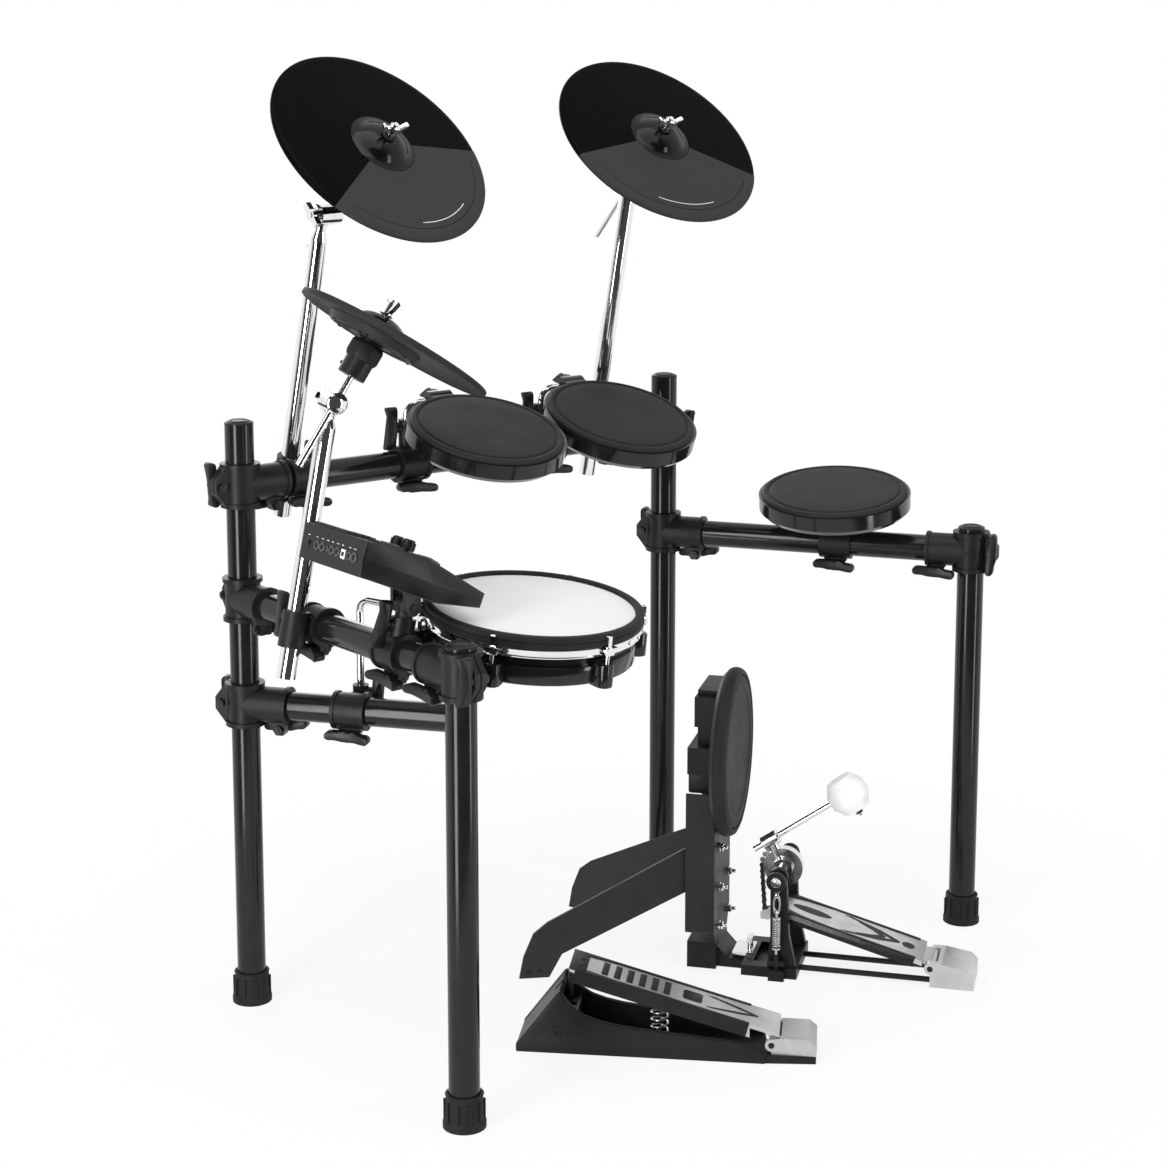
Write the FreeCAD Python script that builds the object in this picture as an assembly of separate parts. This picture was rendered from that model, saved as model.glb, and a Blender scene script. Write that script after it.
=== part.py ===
import FreeCAD, Part
import math
import os

# Electronic drum kit on a tube rack. Millimetres, +Z up, +X to the player's right, +Y away from the player.
V = FreeCAD.Vector
UP = V(0, 0, 1)
ORIGIN = V(0, 0, 0)

# Plan point of the rack frame that becomes the origin, under the middle of the kit.
PLAN_CENTRE = V(108.85, 3.47, 0)

# Clearances.
FIT = 0.15
RUN = 0.3
GAP = 0.5

# Rack tubes: tall posts, short wing posts and the bars between them.
TUBE_R = 19.05
TUBE_WALL = 1.6
FRONT_SPAN = 715
FRONT_Y = 277.5
TALL_TOP = 794
SHORT_TOP = TALL_TOP - 201
FRONT_BAR_Z = TALL_TOP - 81
WING_BAR_Z = SHORT_TOP - 33
SNARE_BAR_Z = WING_BAR_Z - 143
LEFT_HEADING = -87.8
LEFT_RUN = 486
RIGHT_HEADING = -54.9
RIGHT_RUN = 462
SNARE_BAR_HEADING = -51.5
SNARE_BAR_RUN = 300
CAP_DOME = 4
CAP_PLUG = 12

# Rubber feet.
FOOT_H = 41
FOOT_TOP_R = 23.5
FOOT_BASE_R = 26.5
FOOT_FLOOR = 6
FOOT_RIBS = 10
FOOT_RIB = 3

# Corner clamps: a post sleeve and a bar sleeve at right angles, split and drawn up by bolts through ears.
SLEEVE_R = 23.5
SLEEVE_H = 58
COLLAR_R = 26.5
COLLAR_H = 6
BAR_SLEEVE_END = 64
FLANGE_R = 25.5
FLANGE_T = 5
BAR_START = 25.5
EAR_REACH = 16
EAR_T = 17
SPLIT = 1.6
BOLT_R = 3
HUB_R = 6.5
HUB_H = 11
WING_SPAN = 42
WING_T = 6
NUT_R = 6

# Bar clamps that carry the arms and rods.
BAR_CLAMP_L = 46
RECEIVER_WALL = 5

# Cymbal arms, tilters, booms and pads.
ARM_R = 12
ARM_BORE = 9.5
ARM_BELOW = 62
ROD_R = 4.75
STUD_R = 3.5
KNUCKLE_R = 14
KNUCKLE_T = 9
TILTER_PIN_R = 4
SEAT_R = 12
SEAT_DROP = 14
PAD_EDGE = 8
BELL_R = 38
PAD_HOLE_R = 8
HOUSING_R = 58
HOUSING_DEPTH = 10
NUT_LENGTH = 20

# Tom pads.
TOM_R = 110
TOM_H = 33
TOM_WALL = 4
TOM_RUBBER_T = 12
TOM_EDGE = 4
TOM_AXIS_Y = 122.5
TOM_AXIS_Z = -17
L_ROD_R = 5.5
L_BEND_R = 18
TOM_LEG_OFFSET = 53

# Snare pad.
SNARE_HEAD_R = 127
SNARE_SHELL_R = 125
SNARE_HOOP_R = 138.5
SNARE_H = 65
SNARE_LUGS = 6
SNARE_TILT = 6


def unit(vector):
    """Direction of a vector."""
    return V(vector) / vector.Length


def heading(degrees):
    """Plan direction at an angle from +X, counter-clockwise from above."""
    return V(math.cos(math.radians(degrees)), math.sin(math.radians(degrees)), 0)


def leaning(towards, degrees):
    """Upward direction that leans by an angle towards a plan direction."""
    angle = math.radians(degrees)
    return UP * math.cos(angle) + towards * math.sin(angle)


def axes(origin, x_axis, z_axis):
    """Placement whose local Z follows z_axis and whose local X lies nearest to x_axis."""
    z = unit(z_axis)
    x = unit(x_axis - z * x_axis.dot(z))
    return FreeCAD.Placement(origin, FreeCAD.Rotation(x, z.cross(x), z, "ZXY"))


def put(shape, place):
    """Copy of a shape that was built in a local frame, moved to its place."""
    moved = shape.copy()
    moved.Placement = place.multiply(moved.Placement)
    return moved


def rod(start, end, radius):
    """Round bar between two points."""
    return Part.makeCylinder(radius, (end - start).Length, start, end - start)


def tube(start, end, radius, bore):
    """Round tube between two points."""
    return rod(start, end, radius).cut(rod(start, end, bore))


def box(x, y, z):
    """Block between pairs of limits along X, Y and Z."""
    return Part.makeBox(x[1] - x[0], y[1] - y[0], z[1] - z[0], V(x[0], y[0], z[0]))


def face(points):
    """Flat face inside a closed outline."""
    return Part.Face(Part.makePolygon(points + points[:1]))


def slab(outline, plane, limits):
    """Outline of (first, second) coordinates in the XY, XZ or YZ plane, extruded along the third axis."""
    low, high = limits
    if plane == "XY":
        return face([V(p, q, low) for p, q in outline]).extrude(V(0, 0, high - low))
    if plane == "XZ":
        return face([V(p, low, q) for p, q in outline]).extrude(V(0, high - low, 0))
    return face([V(low, p, q) for p, q in outline]).extrude(V(high - low, 0, 0))


def turned(outline):
    """Solid turned about local Z from an outline of (radius, height)."""
    return face([V(r, 0, z) for r, z in outline]).revolve(ORIGIN, UP, 360)


def join(shapes):
    """One solid from shapes that touch or overlap."""
    return shapes[0].multiFuse(shapes[1:]).removeSplitter()


def around(shape, count, start=0):
    """Copies of a shape spaced evenly about local Z."""
    copies = []
    for index in range(count):
        turn = FreeCAD.Rotation(UP, start + 360 * index / count)
        copies.append(put(shape, FreeCAD.Placement(ORIGIN, turn)))
    return copies


def prism(radius, sides, low, high):
    """Regular prism about local Z."""
    corners = [heading(360 * k / sides) * radius for k in range(sides)]
    return slab([(c.x, c.y) for c in corners], "XY", (low, high))


# Plan places of the posts and directions of the bars.
LEFT_DIR = heading(LEFT_HEADING)
RIGHT_DIR = heading(RIGHT_HEADING)
SNARE_DIR = heading(SNARE_BAR_HEADING)
FRONT_DIR = V(1, 0, 0)
POST_LEFT = V(-FRONT_SPAN / 2, FRONT_Y, 0)
POST_RIGHT = V(FRONT_SPAN / 2, FRONT_Y, 0)
POST_LEFT_END = POST_LEFT + LEFT_DIR * LEFT_RUN
POST_RIGHT_END = POST_RIGHT + RIGHT_DIR * RIGHT_RUN


def at(post, height, along=ORIGIN):
    """Point at a height over a post's plan place, moved along a bar."""
    return V(post.x, post.y, height) + along


def wing_bolt(grip):
    """Bolt along local X through an ear of the given grip, with an S-shaped wing at +X and a nut at -X."""
    half = grip / 2
    arm = WING_SPAN / 2
    outline = [(2, -arm), (-WING_T, -arm), (-WING_T, 0), (-2, arm), (WING_T, arm), (WING_T, 0)]
    wing = slab(outline, "YZ", (half + 3, half + HUB_H))
    hub = rod(V(half + GAP, 0, 0), V(half + HUB_H + 1, 0, 0), HUB_R)
    shank = rod(V(-half - 7, 0, 0), V(half + HUB_H, 0, 0), BOLT_R)
    nut = put(prism(NUT_R, 6, 0, 5), axes(V(-half - GAP, 0, 0), UP, V(-1, 0, 0)))
    return join([shank, hub, wing, nut])


def corner_clamp():
    """Corner clamp: post along local Z, bar leaving along local X, its bar ear hanging below."""
    half = SLEEVE_H / 2
    tip = SLEEVE_R + EAR_REACH
    ear_mid = (BAR_START + BAR_SLEEVE_END) / 2 + 6
    post_ear = [(0, -half), (-SLEEVE_R, -half), (-tip, -8), (-tip, 8), (-SLEEVE_R, half), (0, half)]
    bar_ear = [(ear_mid - 16, 0), (ear_mid - 16, -SLEEVE_R), (ear_mid - 5, -tip), (ear_mid + 5, -tip),
               (ear_mid + 12, -SLEEVE_R), (ear_mid + 12, 0)]
    body = join([
        rod(V(0, 0, -half), V(0, 0, half), SLEEVE_R),
        rod(V(0, 0, -half), V(0, 0, COLLAR_H - half), COLLAR_R),
        rod(V(0, 0, half - COLLAR_H), V(0, 0, half), COLLAR_R),
        rod(ORIGIN, V(BAR_SLEEVE_END, 0, 0), SLEEVE_R),
        rod(V(BAR_SLEEVE_END - FLANGE_T, 0, 0), V(BAR_SLEEVE_END, 0, 0), FLANGE_R),
        slab(post_ear, "XZ", (-EAR_T / 2, EAR_T / 2)),
        slab(bar_ear, "XZ", (-EAR_T / 2, EAR_T / 2)),
    ])
    bore = TUBE_R + FIT
    cuts = [
        rod(V(0, 0, -SLEEVE_H), V(0, 0, SLEEVE_H), bore),
        rod(V(BAR_START - FIT, 0, 0), V(BAR_SLEEVE_END + 1, 0, 0), bore),
        box((-tip - 1, -bore + 1), (-SPLIT / 2, SPLIT / 2), (-SLEEVE_H, SLEEVE_H)),
        box((BAR_START, BAR_SLEEVE_END + 1), (-SPLIT / 2, SPLIT / 2), (-tip - 1, -bore + 1)),
    ]
    for spot in corner_bolt_spots():
        cuts.append(rod(spot + V(0, -EAR_T, 0), spot + V(0, EAR_T, 0), BOLT_R + FIT))
    return body.cut(cuts)


def corner_bolt_spots():
    """Bolt centres of a corner clamp, one through the post ear and one through the bar ear."""
    ear_mid = (BAR_START + BAR_SLEEVE_END) / 2 + 6
    return [V(-SLEEVE_R - EAR_REACH / 2, 0, 0), V(ear_mid, 0, ear_bolt_z())]


def corner_places():
    """Places of the corner clamps: post axis, bar height and bar direction."""
    return [
        axes(at(POST_LEFT, FRONT_BAR_Z), FRONT_DIR, UP),
        axes(at(POST_LEFT, WING_BAR_Z), LEFT_DIR, UP),
        axes(at(POST_LEFT, SNARE_BAR_Z), SNARE_DIR, UP),
        axes(at(POST_LEFT_END, WING_BAR_Z), -LEFT_DIR, UP),
        axes(at(POST_RIGHT, FRONT_BAR_Z), -FRONT_DIR, UP),
        axes(at(POST_RIGHT, WING_BAR_Z), RIGHT_DIR, UP),
        axes(at(POST_RIGHT_END, WING_BAR_Z), -RIGHT_DIR, UP),
    ]


def post_tube(post, top):
    """Upright tube that stands on the floor of its rubber foot."""
    return tube(at(post, FOOT_FLOOR), at(post, top), TUBE_R, TUBE_R - TUBE_WALL)


def bar_tube(post, height, direction, run, ends):
    """Level tube whose ends stop short of the post axes by the given lengths."""
    start = at(post, height, direction * ends[0])
    return tube(start, at(post, height, direction * (run - ends[1])), TUBE_R, TUBE_R - TUBE_WALL)


def tube_cap(end, outward):
    """Domed plug in the open end of a tube."""
    plug_r = TUBE_R - TUBE_WALL - FIT
    outline = [(0, -CAP_PLUG), (plug_r, -CAP_PLUG), (plug_r, 0), (TUBE_R, 0), (TUBE_R, CAP_DOME / 2),
               (TUBE_R - 4, CAP_DOME), (0, CAP_DOME)]
    return put(turned(outline), axes(end, V(outward.y, outward.z, outward.x), outward))


def rubber_foot(post):
    """Ribbed rubber cup under a post."""
    bore = TUBE_R + FIT
    cup = turned([(0, 0), (FOOT_BASE_R, 0), (FOOT_BASE_R, 7), (FOOT_TOP_R, 12), (FOOT_TOP_R - 1, FOOT_H),
                  (bore, FOOT_H), (bore, FOOT_FLOOR), (0, FOOT_FLOOR)])
    rib = box((FOOT_TOP_R - 2, FOOT_BASE_R - 1), (-FOOT_RIB / 2, FOOT_RIB / 2), (5, FOOT_H - 6))
    return put(join([cup] + around(rib, FOOT_RIBS)), FreeCAD.Placement(post, FreeCAD.Rotation()))


def rack_nodes():
    """Posts, bars, caps, feet and corner clamps."""
    ends = (BAR_START, BAR_START)
    snare_end = at(POST_LEFT, SNARE_BAR_Z, SNARE_DIR * SNARE_BAR_RUN)
    return {
        "tall_posts": [post_tube(post, TALL_TOP) for post in (POST_LEFT, POST_RIGHT)],
        "short_posts": [post_tube(post, SHORT_TOP) for post in (POST_LEFT_END, POST_RIGHT_END)],
        "front_bar": [bar_tube(POST_LEFT, FRONT_BAR_Z, FRONT_DIR, FRONT_SPAN, ends)],
        "wing_bars": [bar_tube(POST_LEFT, WING_BAR_Z, LEFT_DIR, LEFT_RUN, ends),
                      bar_tube(POST_RIGHT, WING_BAR_Z, RIGHT_DIR, RIGHT_RUN, ends)],
        "snare_bar": [bar_tube(POST_LEFT, SNARE_BAR_Z, SNARE_DIR, SNARE_BAR_RUN, (BAR_START, 0))],
        "tube_caps": [tube_cap(at(POST_LEFT, TALL_TOP), UP), tube_cap(at(POST_RIGHT, TALL_TOP), UP),
                      tube_cap(at(POST_LEFT_END, SHORT_TOP), UP),
                      tube_cap(at(POST_RIGHT_END, SHORT_TOP), UP), tube_cap(snare_end, SNARE_DIR)],
        "rubber_feet": [rubber_foot(post)
                        for post in (POST_LEFT, POST_RIGHT, POST_LEFT_END, POST_RIGHT_END)],
        "corner_clamps": [put(corner_clamp(), place) for place in corner_places()],
    }


def outline_face(start, steps):
    """Face in the XZ plane: each step is the end of a line, or the middle and end of an arc."""
    edges = []
    here = V(start[0], 0, start[1])
    for step in steps + [start]:
        if isinstance(step[0], tuple):
            middle, end = (V(r, 0, z) for r, z in step)
            edges.append(Part.Arc(here, middle, end).toShape())
        else:
            end = V(step[0], 0, step[1])
            edges.append(Part.makeLine(here, end))
        here = end
    return Part.Face(Part.Wire(edges))


def bar_clamp(bar, direction, receiver, axis, bore, limits, screw_side):
    """Clamp round a bar with a sleeve that receives an arm or rod, and a boss for its wing screw."""
    half = BAR_CLAMP_L / 2
    tip = SLEEVE_R + EAR_REACH
    place = axes(bar, direction, UP)
    ear = [(-17, 0), (-17, -SLEEVE_R), (-6, -tip), (6, -tip), (17, -SLEEVE_R), (17, 0)]
    local = join([
        rod(V(-half, 0, 0), V(half, 0, 0), SLEEVE_R),
        rod(V(-half, 0, 0), V(FLANGE_T - half, 0, 0), FLANGE_R),
        rod(V(half - FLANGE_T, 0, 0), V(half, 0, 0), FLANGE_R),
        slab(ear, "XZ", (-EAR_T / 2, EAR_T / 2)),
    ])
    split = box((-half - 1, half + 1), (-SPLIT / 2, SPLIT / 2), (-tip - 1, 1 - TUBE_R))
    hole = rod(V(0, -EAR_T, ear_bolt_z()), V(0, EAR_T, ear_bolt_z()), BOLT_R + FIT)
    low, high = limits
    sleeve_r = bore + RECEIVER_WALL
    sleeve = rod(receiver + axis * low, receiver + axis * high, sleeve_r)
    spot = receiver + axis * screw_height(limits)
    boss = rod(spot, spot + screw_side * (sleeve_r + 4), HUB_R + 1)
    parts = [put(local.cut([split, hole]), place), sleeve, boss]
    reach = (receiver - bar).dot(place.Rotation.multVec(V(0, 1, 0)))
    if abs(reach) > SLEEVE_R:
        parts.append(put(box((-13, 13), sorted((0, reach)), (-15, 15)), place))
    body = join(parts)
    return body.cut([
        rod(bar - direction * BAR_CLAMP_L, bar + direction * BAR_CLAMP_L, TUBE_R + FIT),
        rod(receiver + axis * receiver_floor(bar, receiver, low), receiver + axis * (high + 1), bore),
        rod(spot, spot + screw_side * (sleeve_r + 5), BOLT_R + FIT),
    ])


def ear_bolt_z():
    """Height of the ear bolt of a bar clamp below the bar axis."""
    return -SLEEVE_R - EAR_REACH / 2


def screw_height(limits):
    """Height of the wing screw along a receiver."""
    return limits[1] - HUB_R - 4


def receiver_floor(bar, receiver, low):
    """Start of a receiver bore: blind over the bar, or open through a receiver beside it."""
    over_bar = math.hypot(receiver.x - bar.x, receiver.y - bar.y) < SLEEVE_R
    return TUBE_R + 3 if over_bar else low - 1


def wing_screw(stop):
    """Screw along local X that ends against a rod at the given radius, with an S-shaped wing outside."""
    seat = stop + RECEIVER_WALL + 4.5
    arm = WING_SPAN / 2
    outline = [(2, -arm), (-WING_T, -arm), (-WING_T, 0), (-2, arm), (WING_T, arm), (WING_T, 0)]
    return join([
        rod(V(stop, 0, 0), V(seat + HUB_H, 0, 0), BOLT_R),
        rod(V(seat, 0, 0), V(seat + HUB_H + 1, 0, 0), HUB_R),
        slab(outline, "YZ", (seat + 3, seat + HUB_H)),
    ])


# Cymbals: bar point, side of the wing screw, lean of the arm, reach to the tilter, hinge side, pad normal, boom ends, pad plane,
# pad radius, shift of the pad along local Y and length of the sleeve under the seat.
CLAMP_OFFSET = 38
CYMBALS = {
    "crash": dict(bar=at(POST_LEFT, FRONT_BAR_Z, FRONT_DIR * 93.5), along=FRONT_DIR, outward=V(0, 1, 0), screw=1,
                  lean=16, reach=368, hinge=V(0.987, 0.16, 0), normal=V(0.118, -0.72, 0.6775),
                  tail=-65, plane=133, radius=153, shift=0, sleeve=0),
    "ride": dict(bar=at(POST_LEFT, FRONT_BAR_Z, FRONT_DIR * 610.5), along=FRONT_DIR, outward=V(0, 1, 0), screw=-1,
                 lean=13, reach=410, hinge=V(1, 0, 0), normal=V(0, -0.70, 0.7125),
                 tail=-150, plane=55, radius=153, shift=0, sleeve=0),
    "hihat": dict(bar=at(POST_LEFT, WING_BAR_Z, LEFT_DIR * 185), along=LEFT_DIR,
                  outward=heading(LEFT_HEADING - 90), screw=-1, lean=12, reach=290, hinge=V(-0.1977, -0.9803, 0),
                  normal=V(0.535, -0.107, 0.838), tail=-90, plane=107, radius=132, shift=28, sleeve=40),
}
BOOM_OFFSET = ARM_R + ROD_R + GAP
ARM_NECK = 34
BELL_TOP = 18
NUT_GAP = 2.5
RECEIVER_LIMITS = (-22, 24)


def cymbal_axis(spec):
    """Direction of a cymbal arm."""
    return leaning(-spec["outward"], spec["lean"])


def cymbal_base(spec):
    """Point of a cymbal arm beside its bar."""
    return spec["bar"] + spec["outward"] * CLAMP_OFFSET


def cymbal_pivot(spec):
    """Centre of a cymbal's tilter."""
    return cymbal_base(spec) + cymbal_axis(spec) * spec["reach"]


def cymbal_frame(spec):
    """Tilter frame: local X is the hinge and local Z the boom."""
    return axes(cymbal_pivot(spec), spec["hinge"], spec["normal"])


def cymbal_seat(spec):
    """Centre of the domed seat that the pad rocks on, in the tilter frame."""
    return V(BOOM_OFFSET, 0, spec["plane"] - SEAT_DROP)


def cymbal_arm(spec):
    """Slanted tube with a knuckle at its top."""
    base = cymbal_base(spec)
    axis = cymbal_axis(spec)
    pivot = cymbal_pivot(spec)
    hinge = unit(spec["hinge"])
    tube_top = spec["reach"] - ARM_NECK
    outer = rod(base - axis * ARM_BELOW, base + axis * tube_top, ARM_R)
    bore = rod(base - axis * (ARM_BELOW + 1), base + axis * (tube_top - 15), ARM_BORE)
    neck = Part.makeCone(ARM_R, KNUCKLE_T - 1, 12, base + axis * tube_top, axis)
    stem = rod(base + axis * tube_top, pivot, KNUCKLE_T - 1)
    disc = rod(pivot - hinge * KNUCKLE_T, pivot + hinge * KNUCKLE_T, KNUCKLE_R)
    hole = rod(pivot - hinge * 30, pivot + hinge * 30, TILTER_PIN_R + RUN)
    return join([outer, neck, stem, disc]).cut([bore, hole])


def cymbal_boom(spec):
    """Boom rod with its knuckle, pin and wing nut, the domed seat, the stud and the nut over the pad."""
    seat = cymbal_seat(spec)
    nut_low = spec["plane"] + BELL_TOP + NUT_GAP
    x = BOOM_OFFSET
    wing = [(-17, 3), (-17, -5), (0, -5), (17, -3), (17, 5), (0, 5)]
    shapes = [
        rod(V(x, 0, spec["tail"]), seat, ROD_R),
        rod(V(KNUCKLE_T + RUN, 0, 0), V(x + ROD_R + 3, 0, 0), KNUCKLE_R),
        rod(V(-KNUCKLE_T - 12, 0, 0), V(x, 0, 0), TILTER_PIN_R),
        rod(V(-KNUCKLE_T - 11, 0, 0), V(-KNUCKLE_T - RUN, 0, 0), HUB_R + 1),
        slab(wing, "YZ", (-KNUCKLE_T - 11, -KNUCKLE_T - 3)),
        Part.makeSphere(SEAT_R, seat),
        rod(seat, V(x, 0, nut_low + NUT_LENGTH), STUD_R),
        rod(V(x, 0, nut_low), V(x, 0, nut_low + NUT_LENGTH - 4), HUB_R),
        slab([(x - 15, nut_low + 14), (x - 5, nut_low + 3), (x + 5, nut_low + 3), (x + 15, nut_low + 14),
              (x + 10, nut_low + 15), (x - 10, nut_low + 15)], "XZ", (-2.5, 2.5)),
    ]
    if spec["sleeve"]:
        top = seat.z - SEAT_R - 2
        block = prism(17, 8, top - spec["sleeve"], top)
        knob = rod(V(x - 30, 0, top - 26), V(x, 0, top - 26), HUB_R)
        grip = slab([(-14, -4), (14, 4), (14, 8), (-14, 0)], "YZ", (x - 30, x - 22))
        grip.translate(V(0, 0, top - 28))
        block.translate(V(x, 0, 0))
        shapes += [block, knob, grip]
    return put(join(shapes), cymbal_frame(spec))


def cymbal_pad(spec):
    """Thin rubber pad with a bell, a vented housing beneath and a socket that sits on the domed seat."""
    radius = spec["radius"]
    under = -PAD_EDGE
    deep = under - HOUSING_DEPTH
    disc = outline_face((0, under), [(radius, under), (radius, -3), ((radius - 1, -1), (radius - 3.5, 0)),
                                     (BELL_R, 4), (0, 4)]).revolve(ORIGIN, UP, 360)
    disc.translate(V(0, spec["shift"], 0))
    bell = outline_face((0, under), [(BELL_R + 6, under), (BELL_R + 6, 2), (BELL_R - 1, 6),
                                     ((BELL_R - 14, 14.5), (PAD_HOLE_R, BELL_TOP)), (0, BELL_TOP)])
    inner = SEAT_R + 6
    housing = turned([(inner, under + 2), (HOUSING_R + 5, under + 2), (HOUSING_R + 5, under),
                      (HOUSING_R, deep), (inner, deep)])
    slot = box((HOUSING_R - 26, HOUSING_R - 8), (-2, 2), (deep - 1, deep + 5))
    body = join([disc, bell.revolve(ORIGIN, UP, 360), housing])
    socket = Part.makeSphere(SEAT_R + RUN, V(0, 0, -SEAT_DROP))
    hole = rod(V(0, 0, -40), V(0, 0, 40), PAD_HOLE_R)
    pad = body.cut([socket, hole] + around(slot, HOUSING_SLOTS))
    pad.translate(V(BOOM_OFFSET, 0, spec["plane"]))
    return put(pad, cymbal_frame(spec))


HOUSING_SLOTS = 10


def cymbal_nodes():
    """Arm, boom and pad of each cymbal."""
    nodes = {}
    for name, spec in CYMBALS.items():
        nodes[name + "_arm"] = [cymbal_arm(spec)]
        nodes[name + "_boom"] = [cymbal_boom(spec)]
        nodes[name + "_pad"] = [cymbal_pad(spec)]
    return nodes


# Toms: centre of the playing face, plan heading of the raised edge, and tilt.
TOMS = {
    "tom1": dict(centre=at(POST_LEFT, FRONT_BAR_Z + 61, V(316.5, -114.5, 0)), uphill=90, tilt=17.8),
    "tom2": dict(centre=at(POST_LEFT, FRONT_BAR_Z + 56, V(548.5, -110.5, 0)), uphill=90, tilt=20),
    "tom3": dict(centre=at(POST_RIGHT, WING_BAR_Z + 84, V(133.5, -230, 0)), uphill=RIGHT_HEADING + 90, tilt=9.5),
}
TOM_RIM_Z = -6
TOM_LEDGE = 6
BRACKET_R = 13
BRACKET_W = 18
NECK_AXIS_Z = -47
NECK_LUG_R = 9
NECK_LUG_W = 8
NECK_CHEEK = 6
NECK_PIN_R = 4


def tom_frame(spec):
    """Frame of a tom: origin on the playing face, local Y towards the raised edge."""
    return axes(spec["centre"], heading(spec["uphill"] - 90), leaning(heading(spec["uphill"] + 180), spec["tilt"]))


def tom_rubber(spec):
    """Rubber playing face with a rounded edge."""
    edge = TOM_R - TOM_WALL
    low = -TOM_RUBBER_T
    disc = outline_face((0, low), [(edge, low), (edge, -TOM_EDGE),
                                   ((edge - 1.2, -1.2), (edge - TOM_EDGE, 0)), (0, 0)])
    return put(disc.revolve(ORIGIN, UP, 360), tom_frame(spec))


def tom_dish():
    """Shallow moulded dish that holds the rubber face on a ledge."""
    bore = TOM_R - TOM_WALL + RUN
    floor = -TOM_H + TOM_WALL
    return turned([(0, -TOM_H), (TOM_R - 7, -TOM_H), (TOM_R, -TOM_H + 7), (TOM_R, TOM_RIM_Z), (bore, TOM_RIM_Z),
                   (bore, -TOM_RUBBER_T), (bore - TOM_LEDGE, -TOM_RUBBER_T), (bore - TOM_LEDGE, floor), (0, floor)])


def tom_axis(spec):
    """Point on the tilt axis of a tom in its own frame: a rod behind the rim, or a pin beneath the pad."""
    if spec is TOMS["tom3"]:
        beside = (on_right_wing(TOM3_ALONG) - spec["centre"]).dot(heading(spec["uphill"]))
        tilt = math.radians(spec["tilt"])
        return V(0, (beside + NECK_AXIS_Z * math.sin(tilt)) / math.cos(tilt), NECK_AXIS_Z)
    return V(0, TOM_AXIS_Y, TOM_AXIS_Z)


def tom_shell(spec):
    """Dish with the rear bracket, or with the lug of the neck beneath."""
    pivot = tom_axis(spec)
    if spec is TOMS["tom3"]:
        half = NECK_LUG_W
        floor = -TOM_H + TOM_WALL / 2
        lug = [box((-half, half), (pivot.y - NECK_LUG_R, pivot.y + NECK_LUG_R), (pivot.z, floor)),
               rod(pivot - V(half, 0, 0), pivot + V(half, 0, 0), NECK_LUG_R),
               rod(V(0, pivot.y, -TOM_H - 3), V(0, pivot.y, floor), 26)]
        bore = rod(pivot - V(40, 0, 0), pivot + V(40, 0, 0), NECK_PIN_R + RUN)
    else:
        half = BRACKET_W
        screw = V(0, pivot.y + BRACKET_R, pivot.z)
        wing = slab([(-15, -3), (-6, -5), (6, -5), (15, 3), (6, 5), (-6, 5)], "XZ", (screw.y + 6, screw.y + 12))
        wing.translate(V(0, 0, pivot.z))
        lug = [box((-half, half), (TOM_R - 3, pivot.y), (pivot.z - 11, pivot.z + 11)),
               rod(pivot - V(half, 0, 0), pivot + V(half, 0, 0), BRACKET_R),
               rod(screw - V(0, 4, 0), screw + V(0, 13, 0), HUB_R), wing]
        bore = rod(pivot - V(40, 0, 0), pivot + V(40, 0, 0), L_ROD_R + RUN)
    return put(join([tom_dish()] + lug).cut(bore), tom_frame(spec))


def on_right_wing(along):
    """Point on the right wing bar."""
    return at(POST_RIGHT, WING_BAR_Z, RIGHT_DIR * along)


TOM3_ALONG = 265

# Snare: centre of the head, its bar point and the height of the rod that it is clamped to.
SNARE_CENTRE = at(POST_LEFT, WING_BAR_Z + 36, V(196.5, -384.5, 0))
SNARE_ALONG = 150
SNARE_OFFSET = 36
SNARE_LEG_Z = WING_BAR_Z
SNARE_WALL = 4
HEAD_T = 2
HOOP_BASE = -12
HOOP_TOP = 4
RING_T = 5
TENSION_R = 2.5
TENSION_PCR = 135.5
SNARE_BOX = (119, 166)


def snare_leg_foot():
    """Plan place of the snare rod's upright leg, beside its bar."""
    return at(POST_LEFT, SNARE_BAR_Z, SNARE_DIR * SNARE_ALONG + heading(SNARE_BAR_HEADING + 90) * SNARE_OFFSET)


def snare_leg_dir():
    """Plan direction of the snare rod's level leg, towards the pad."""
    run = SNARE_CENTRE - snare_leg_foot()
    return unit(V(run.x, run.y, 0))


def snare_frame():
    """Frame of the snare: origin on its head, local Y towards the bracket."""
    inward = snare_leg_dir()
    return axes(SNARE_CENTRE, V(-inward.y, inward.x, 0), leaning(inward, SNARE_TILT))


def snare_leg_end():
    """End of the level leg, just outside the shell."""
    corner = at(snare_leg_foot(), SNARE_LEG_Z)
    run = (SNARE_CENTRE - snare_leg_foot())
    return corner + snare_leg_dir() * (math.hypot(run.x, run.y) - SNARE_SHELL_R - 8)


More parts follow.
